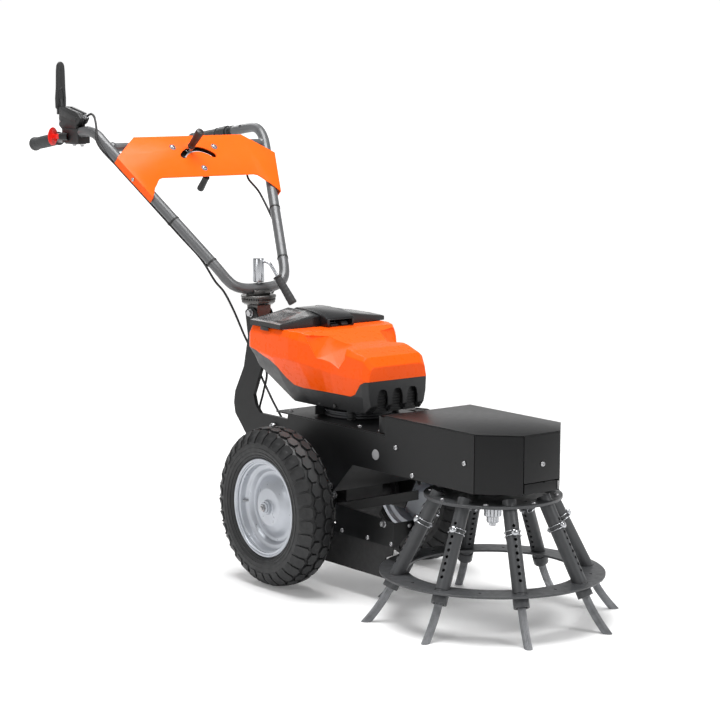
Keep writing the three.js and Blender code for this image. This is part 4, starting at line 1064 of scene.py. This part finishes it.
def panel_levers():
    """The shift lever in front of the panel and the speed lever behind it."""
    x, up = -21, 381
    arm = bmesh.new()
    outline = [(-8, 311), (8, 309), (11, 318), (x + 7, up + 3), (x, up + 8), (x - 7, up + 2), (-11, 320)]
    panel_prism(arm, outline, PANEL - 6, 4.6)
    arm = rounded(arm, 0.6)
    lathe(arm, [(0, -14), (9, -13.5), (9, -1.6), (0, -1.2)], on_legs(0, SHIFT_PIVOT, PANEL), LEG_FRONT, 28)
    finish_piece("shift_arm", arm, STEEL, "shifter")
    knob = bmesh.new()
    base = on_legs(x, up, 0)
    lathe(knob, [(0, 30), (9.2, 30), (10.4, 31.2), (10.4, 36), (9.3, 37.5), (9.5, 44), (10.6, 62),
                 (11.6, 82), (11.6, 90), (10.2, 94), (7, 95.8), (0, 96)], base, LEG_FRONT, 40)
    finish_piece("shift_knob", knob, surface("knob_plastic", (0.02, 0.017, 0.016), 0.4, grain=1500),
                 "shifter", ["shift_lever"], slot_name="black_plastic")
    collar = solid(lathe, [(0, 9), (5.6, 9), (5.6, 19), (6.8, 20), (8.2, 21.5), (8.4, 29), (7.4, 30.5),
                           (0, 30.6)], base, LEG_FRONT, 32)
    finish_piece("shift_collar", collar, CHROME, "shifter")

    rear = bmesh.new()
    start, end = on_legs(36, 330, 12.2), on_legs(36, 326, -40)
    rod(rear, start, end, 4.6, 20)
    down = (on_legs(36, 322, -84) - on_legs(36, 326.5, -34)).normalized()
    lathe(rear, [(0, 0), (8.6, 0), (9.6, 1.4), (9.0, 6), (8.8, 16), (9.6, 34), (9.9, 44), (9.2, 48),
                 (6.5, 50.4), (0, 50.4)], on_legs(36, 326.5, -34), down, 32)
    lathe(rear, [(0, -7), (6.2, -6.6), (6.5, -2.6), (0, -2)], on_legs(36, 330, PANEL), LEG_FRONT, 28)
    finish_piece("speed_lever_stick", rear, BLACK_PLASTIC, "speed_control", ["speed_lever"])


def teeth(bm, centre, inner, outer, low, high, count, flip=False):
    """A ring of small wedge teeth on a flat ring."""
    for k in range(count):
        middle = 2 * math.pi * (k + 0.5) / count
        half = math.pi / count * 0.92
        foot, tip = (high, low) if flip else (low, high)
        points = []
        for radius in (inner, outer):
            for spread, z in ((-1, foot), (1, foot), (0.3, tip), (-0.3, tip)):
                angle = middle + half * spread
                points.append((centre[0] + radius * math.cos(angle), centre[1] + radius * math.sin(angle),
                               z))
        add(bm, points, [(0, 1, 2, 3), (7, 6, 5, 4), (0, 4, 5, 1), (1, 5, 6, 2), (2, 6, 7, 3),
                         (3, 7, 4, 0)])


def swivel():
    """The two toothed plates on which the handlebar turns, and the bolt it tilts on."""
    head = solid(lathe, [(7, 670.4), (46.4, 670.4), (47, 671), (47, 675.2), (46.2, 676), (7, 676)], POST, Z,
                 72, closed=True)
    teeth(head, POST, 34, 45.5, 667.2, 670.6, 46, flip=True)
    saddle = solid(side_prism, [(378, 675.6), (414, 675.6), (417, 681), (417, 689), (412, 692), (411, 686),
                                (396.5, 679.6), (382, 686), (381, 692), (375, 689), (375, 681)], -26, 26)
    absorb(head, rounded(saddle, 0.9))
    finish_piece("rosette_upper", head, ROSETTE_STEEL, "handlebar", ["swivel_head"],
                 slot_name="black_paint")

    base = solid(lathe, [(7, 651.2), (37, 651.2), (44.6, 656.5), (46.4, 659), (46.4, 663.4), (7, 663.4)],
                 POST, Z, 10, closed=True)
    base = rounded(base, 0.8)
    teeth(base, POST, 34, 45.5, 663.2, 666.5, 46)
    side_prism(base, [(371.5, 612.5), (414.5, 612.5), (416.5, 651.8), (369.5, 651.8)], -21.6, 21.6)
    finish_piece("rosette_lower", base, ROSETTE_STEEL, "handle_post", ["swivel_base"],
                 slot_name="black_paint")
    pin = bmesh.new()
    for side in (-1, 1):
        hex_bolt(pin, (side * 27.4, POST_Y - 2, 629), (side, 0, 0), 16, 7, 11)
    rod(pin, (-27, POST_Y - 2, 629), (27, POST_Y - 2, 629), 5.8, 20)
    finish_piece("tilt_bolt", pin, STEEL, "handle_post")


def clamp_handle():
    crank = solid(lathe, [(0, 710.2), (13.4, 710.2), (15.2, 712.4), (15.4, 714), (15.4, 771), (14.2, 773.2),
                          (13, 773.4), (0, 773.4)], POST, Z, 56)
    cylinder(crank, 5.2, 641, 711, POST, Z, 24)
    path = curve_points([(0, POST_Y, 764), (9, POST_Y - 14, 765.5), (16, POST_Y - 27, 761),
                         (21, POST_Y - 36, 748), (27, POST_Y - 47.5, 728), (32.5, POST_Y - 57, 711)], 40)
    sweep(crank, path, 4.2, 20)
    finish_piece("clamp_bar", crank, CHROME, "clamp", ["clamp_crank"])
    start, tip = Vector((27, POST_Y - 47.5, 728)), Vector((50, POST_Y - 87, 657))
    along = (tip - start).normalized()
    length = (tip - start).length
    grip = bmesh.new()
    profile = [(4.3, 0.5), (11.4, 0), (12.4, 1), (12.4, 3.6), (11.2, 4.8), (9.8, 6)]
    for k in range(6):
        at = 9 + k * (length - 22) / 6
        profile += [(9.9 + 0.25 * k, at), (10.3 + 0.25 * k, at + 2), (10.3 + 0.25 * k, at + 8),
                    (9.95 + 0.25 * k, at + 10)]
    profile += [(11.4, length - 9), (11.9, length - 4), (11.2, length - 0.8), (9.8, length), (0, length)]
    lathe(grip, profile, start, along, 40)
    finish_piece("clamp_grip", grip, GRIP_RUBBER, "clamp", ["crank_grip"], slot_name="black_plastic",
                 smooth=50)


handlebar()
control_panel()
grip_pieces()
lever_perches()
hand_levers()
panel_levers()
swivel()
clamp_handle()

# ---------------------------------------------------------------- brush head
# The brush cage: a top disc, a lower ring, and tubes that lean outwards from one to the other.
DISC_TOP, DISC_R = 294.9, 163.3
RING_TOP, RING_IN, RING_OUT = 110.4, 200.0, 266.8
TUBE_TOP_R, TUBE_LOW_R = 137.5, 232.3
TUBES = 8
PITCH = 2 * math.pi / TUBES
PHASE = math.radians(154)
BRUSH_AXIS = (0, BRUSH_Y, 0)
HOLES, FIRST_HOLE, HOLE_SPACING = 9, 51, 16
DISC_MID, RING_MID = DISC_TOP - 3.5, RING_TOP - 2.5
SLOPE = (TUBE_LOW_R - TUBE_TOP_R) / (DISC_MID - RING_MID)


def tube_frame(angle):
    """The point where a tube's axis crosses the disc, its downward direction, and its outward side."""
    out = Vector((math.cos(angle), math.sin(angle), 0))
    top = Vector((0, BRUSH_Y, DISC_MID)) + out * TUBE_TOP_R
    down = (out * SLOPE - Z).normalized()
    outward = (out + Z * SLOPE).normalized()
    return top, down, outward


def on_disc(angle, radius, height=0):
    """A point at an angle and radius from the brush axis."""
    return Vector((math.cos(angle) * radius, BRUSH_Y + math.sin(angle) * radius, height))


def drilled_tube():
    """One cage tube along +Z down its length, drilled from the outward side, which is +X."""
    top, low = -12.5, 216.0
    bm = solid(lathe, [(14.2, top), (16.4, top), (16.8, top + 0.5), (16.8, 205.5), (15.6, 206.2),
                       (15.6, low), (18, low + 0.5), (18.6, low + 1.6), (18.6, low + 22),
                       (18.0, low + 23.2), (14.2, low + 23.2)], (0, 0, 0), Z, 40, closed=True)
    drills = bmesh.new()
    for k in range(HOLES):
        cylinder(drills, 4, -30, 30, (0, 0, FIRST_HOLE + HOLE_SPACING * k), X, 16)
    return carved(bm, drills)


def ring_plate(radius_in, radius_out, top, thick, hole_circle, hole_radius):
    """A flat ring with a hole for every tube and a smaller one between each two."""
    bm = solid(lathe, [(radius_in, top - thick), (radius_out - 0.6, top - thick),
                       (radius_out, top - thick + 0.6), (radius_out, top - 0.6), (radius_out - 0.6, top),
                       (radius_in, top)], BRUSH_AXIS, Z, 144, closed=True)
    drills = bmesh.new()
    for i in range(TUBES):
        angle = PHASE + i * PITCH
        point, down, _ = tube_frame(angle)
        cylinder(drills, 17.1, -60, 260, point, down)
        cylinder(drills, hole_radius, top - 20, top + 20, on_disc(angle + PITCH / 2, hole_circle), Z, 20)
    return carved(bm, drills)


def wire_bundle(angle):
    """A bundle of straight wires that leaves its tube, bends outwards and ends flat on the ground."""
    point, down, _ = tube_frame(angle)
    out = Vector((math.cos(angle), math.sin(angle), 0))
    guide = [point + down * 222]
    bend = 75.5
    for height in (bend, 56, 38, 20, 5, -10):
        fall = bend - height
        radius = 249 + 0.5166 * fall + 0.00272 * fall * fall
        guide.append(Vector((0, BRUSH_Y, height)) + out * radius)
    path = curve_points(guide, 30)
    last = len(path) - 1
    bm = solid(sweep, path, 7.4, 16)
    side = Z.cross(out).normalized()
    strands = 14
    for k in range(strands):
        turn = 2 * math.pi * k / strands
        strand = []
        for i, place in enumerate(path):
            along = (path[min(i + 1, last)] - path[max(i - 1, 0)]).normalized()
            strand.append(place + (side * math.cos(turn) + along.cross(side) * math.sin(turn)) * 7.8)
        sweep(bm, strand, 1.9, 6)
    bmesh.ops.bisect_plane(bm, geom=bm.verts[:] + bm.edges[:] + bm.faces[:], plane_co=(0, 0, 0.05),
                           plane_no=(0, 0, -1), clear_outer=True)
    rim_edges = [e for e in bm.edges if e.is_boundary]
    bmesh.ops.holes_fill(bm, edges=rim_edges, sides=0)
    return bm


def pin_and_clip(bm_head, bm_wire, angle):
    """A headed pin through the second hole and the double-wire ring that holds it."""
    point, down, outward = tube_frame(angle)
    at = point + down * (FIRST_HOLE + HOLE_SPACING)
    lathe(bm_head, [(0, -24), (3.6, -24), (3.6, 16), (8.6, 16.4), (9.0, 18), (8.8, 20.6), (7.2, 23.2),
                    (4, 24.9), (0, 25.4)], at, outward, 28)
    side = down.cross(outward).normalized()
    path = []
    for shift, opening in ((5.2, -148), (-5.2, 148)):
        for k in range(25):
            turn = math.radians(opening - 2 * opening * k / 24)
            path.append(at + down * shift + (outward * math.cos(turn) + side * math.sin(turn)) * 19.2)
    sweep(bm_wire, path, 1.15, 8, loop=True)


def brush():
    disc = ring_plate(16.8, DISC_R, DISC_TOP, 7, 120, 4.5)
    finish_piece("cage_disc", disc, CAGE_PAINT, "brush_head", ["brush_disc"])
    ring = ring_plate(RING_IN, RING_OUT, RING_TOP, 5, 232.3, 4.0)
    finish_piece("cage_ring", ring, CAGE_PAINT, "brush_head", ["brush_ring"])
    tube_mesh = mesh_of("tube_work", drilled_tube())
    heads, wires = bmesh.new(), bmesh.new()
    for i in range(TUBES):
        angle = PHASE + i * PITCH
        point, down, outward = tube_frame(angle)
        turn = Matrix((outward, down.cross(outward), down)).transposed().to_4x4()
        tube = bmesh.new()
        tube.from_mesh(tube_mesh)
        bmesh.ops.transform(tube, matrix=Matrix.Translation(point) @ turn, verts=tube.verts)
        finish_piece(f"cage_tube_{i + 1}", tube, CAGE_PAINT, "brush_head", [f"brush_tube_{i + 1}"])
        finish_piece(f"wire_bundle_{i + 1}", wire_bundle(angle), ROPE_STEEL, "brush_head",
                     [f"brush_bundle_{i + 1}"], smooth=50)
        pin_and_clip(heads, wires, angle)
    finish_piece("height_pins", heads, CHROME, "brush_head")
    finish_piece("pin_clips", wires, CHROME, "brush_head", smooth=60)
    bpy.data.meshes.remove(tube_mesh)

    chuck = solid(lathe, [(0, 224), (13.6, 224), (15, 225.6), (15, 238), (16, 239.2), (20, 239.6),
                          (21.2, 241), (21.2, 286), (20.6, 287.2), (16, 287.4), (16, 295.6), (41, 295.6),
                          (42, 296.5), (42, 299.4), (41, 300.2), (20, 300.6), (12, 302.2), (12, 388),
                          (0, 388)], BRUSH_AXIS, Z, 64)
    lathe(chuck, [(0, 216), (8.2, 216), (9.4, 217.4), (9.4, 224.2), (0, 224.2)], BRUSH_AXIS, Z, 6)
    finish_piece("spindle_chuck", chuck, CHROME, "brush_head", ["spindle"])
    bolts = bmesh.new()
    for k in range(4):
        hex_bolt(bolts, on_disc(PHASE + PITCH / 2 + k * math.pi / 2, 30, 287.8), (0, 0, -1), 10, 5, 7.5)
    for k in range(TUBES):
        dome_screw(bolts, on_disc(PHASE + PITCH / 2 + k * PITCH, 148, DISC_TOP + 0.1), (0, 0, 1), 6.5, 4)
    finish_piece("disc_bolts", bolts, STEEL, "brush_head")


brush()

# ---------------------------------------------------------------- control cables
# Radius of a cable, and the height at which its two lengths meet.
CABLE = 3.0
SPLIT_Z = 640


def along_leg(side, up):
    """A point of a cable that runs down behind a leg."""
    return on_legs(side * (LEG_FOOT_X + LEG_SPREAD * up + 5), up, -17.4)


ROUTE_RIGHT = [
    (-266, 815, 1140), (-264, 800, 1147), (-266, 780, 1141), (-276, 752, 1112), (-284, 735, 1072),
    along_leg(-1, 360), along_leg(-1, 290), along_leg(-1, 200), along_leg(-1, 110), along_leg(-1, 30),
    (-104, 445, 713), (-76, 447, 685), (-46, 444, 632), (-8, 446, 558), (12, 443, 522), (27, 414, 490),
    (29, 398, 462), (16, 396, 412), (2, 394, 362), (-4, 350, 305), (2, 240, 262), (8, 130, 240),
    (8, 71, 236),
]
ROUTE_LEFT = [
    (267, 908, 1052), (262, 872, 1046), (256, 825, 1043), (247, 775, 1038), on_legs(228, 392, -34),
    on_legs(186, 348, -32), on_legs(163, 309, -26), on_legs(173, 262, -24), on_legs(174, 215, -24),
    on_legs(170, 172, -22), along_leg(1, 125), along_leg(1, 40), (100, 442, 702), (66, 444, 655),
    (30, 444, 618), (9, 438, 575), (1, 414, 515), (-7, 380, 470), (-6, 345, 425), (0, 311, 378),
    (12, 268, 325), (24, 190, 285), (30, 120, 262), (30, 71, 250),
]


def cable(name, route, node):
    """A control cable in two lengths that meet near the tilt pivot."""
    path = curve_points(route, 150)
    split = min(range(len(path)), key=lambda i: abs(path[i].z - SPLIT_Z))
    for part, points, bodies, start, end in (
            ("upper", path[:split + 1], ("handle_post", "handlebar"), 655, 760),
            ("lower", path[split:], ("chassis", "handle_post"), 480, 625)):
        bm = solid(sweep, points, CABLE, 14)
        piece = finish_piece(f"{name}_{part}", bm, SOFT_RUBBER, None, [node], smooth=60)
        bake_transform(piece)


cable("cable_right", ROUTE_RIGHT, "control_cable_right")
cable("cable_left", ROUTE_LEFT, "control_cable_left")


# ---------------------------------------------------------------- studio
# name: (place, what it points at, size, power)
LIGHTS = {
    "key": ((1.6, -4.2, 3.8), (0, -0.2, 0.5), 2.2, 95),
    "left": ((-4.0, -1.2, 2.6), (0, 0, 0.5), 2.0, 26),
    "rear": ((1.0, 3.8, 3.0), (0, 0.2, 0.7), 2.6, 55),
    "top": ((-0.2, 0.1, 4.2), (0, 0, 0), 3.0, 210),
}


def paper_floor():
    """A white floor that glows more with distance, so that it meets a white background."""
    floor_mesh = bmesh.new()
    size, sink = 30000, -0.5
    points = [(-size, -size, sink), (size, -size, sink), (size, size, sink), (-size, size, sink)]
    add(floor_mesh, points, [(0, 1, 2, 3)])
    bmesh.ops.scale(floor_mesh, vec=(MM, MM, MM), verts=floor_mesh.verts)
    mesh = mesh_of("floor", floor_mesh)
    floor = linked("floor", mesh)
    paper = surface("paper", (0.86, 0.86, 0.86), 0.8, spread=0.004, grain=30, depth=0.0001)
    shader = paper.node_tree.nodes["Principled BSDF"]
    shader.inputs["Emission Color"].default_value = (1, 1, 1, 1)
    nodes, links = paper.node_tree.nodes, paper.node_tree.links
    reach = nodes.new("ShaderNodeVectorMath")
    reach.operation = "LENGTH"
    links.new(nodes.new("ShaderNodeTexCoord").outputs["Object"], reach.inputs[0])
    glow = map_range(nodes, links, reach.outputs["Value"], (2.5, 9.0), (0.12, 1.0))
    links.new(glow, shader.inputs["Emission Strength"])
    mesh.materials.append(paper)


def studio():
    """A background that is white at eye level and darker above, and four area lights."""
    world = bpy.data.worlds.new("studio")
    world.use_nodes = True
    world.node_tree.nodes["Background"].inputs["Color"].default_value = (1, 1, 1, 1)
    nodes, links = world.node_tree.nodes, world.node_tree.links
    split = nodes.new("ShaderNodeSeparateXYZ")
    links.new(nodes.new("ShaderNodeTexCoord").outputs["Generated"], split.inputs["Vector"])
    fade = map_range(nodes, links, split.outputs["Z"], (0.12, 0.4), (1.02, 0.28))
    links.new(fade, nodes["Background"].inputs["Strength"])
    bpy.context.scene.world = world
    bpy.context.scene.view_settings.view_transform = "Standard"
    for name, (place, aim, size, power) in LIGHTS.items():
        light = bpy.data.lights.new(name, "AREA")
        light.shape = "DISK"
        light.size = size
        light.energy = power
        lamp = linked(name, light)
        lamp.location = place
        lamp.rotation_mode = "QUATERNION"
        lamp.rotation_quaternion = (Vector(aim) - Vector(place)).to_track_quat("-Z", "Y")


paper_floor()
studio()
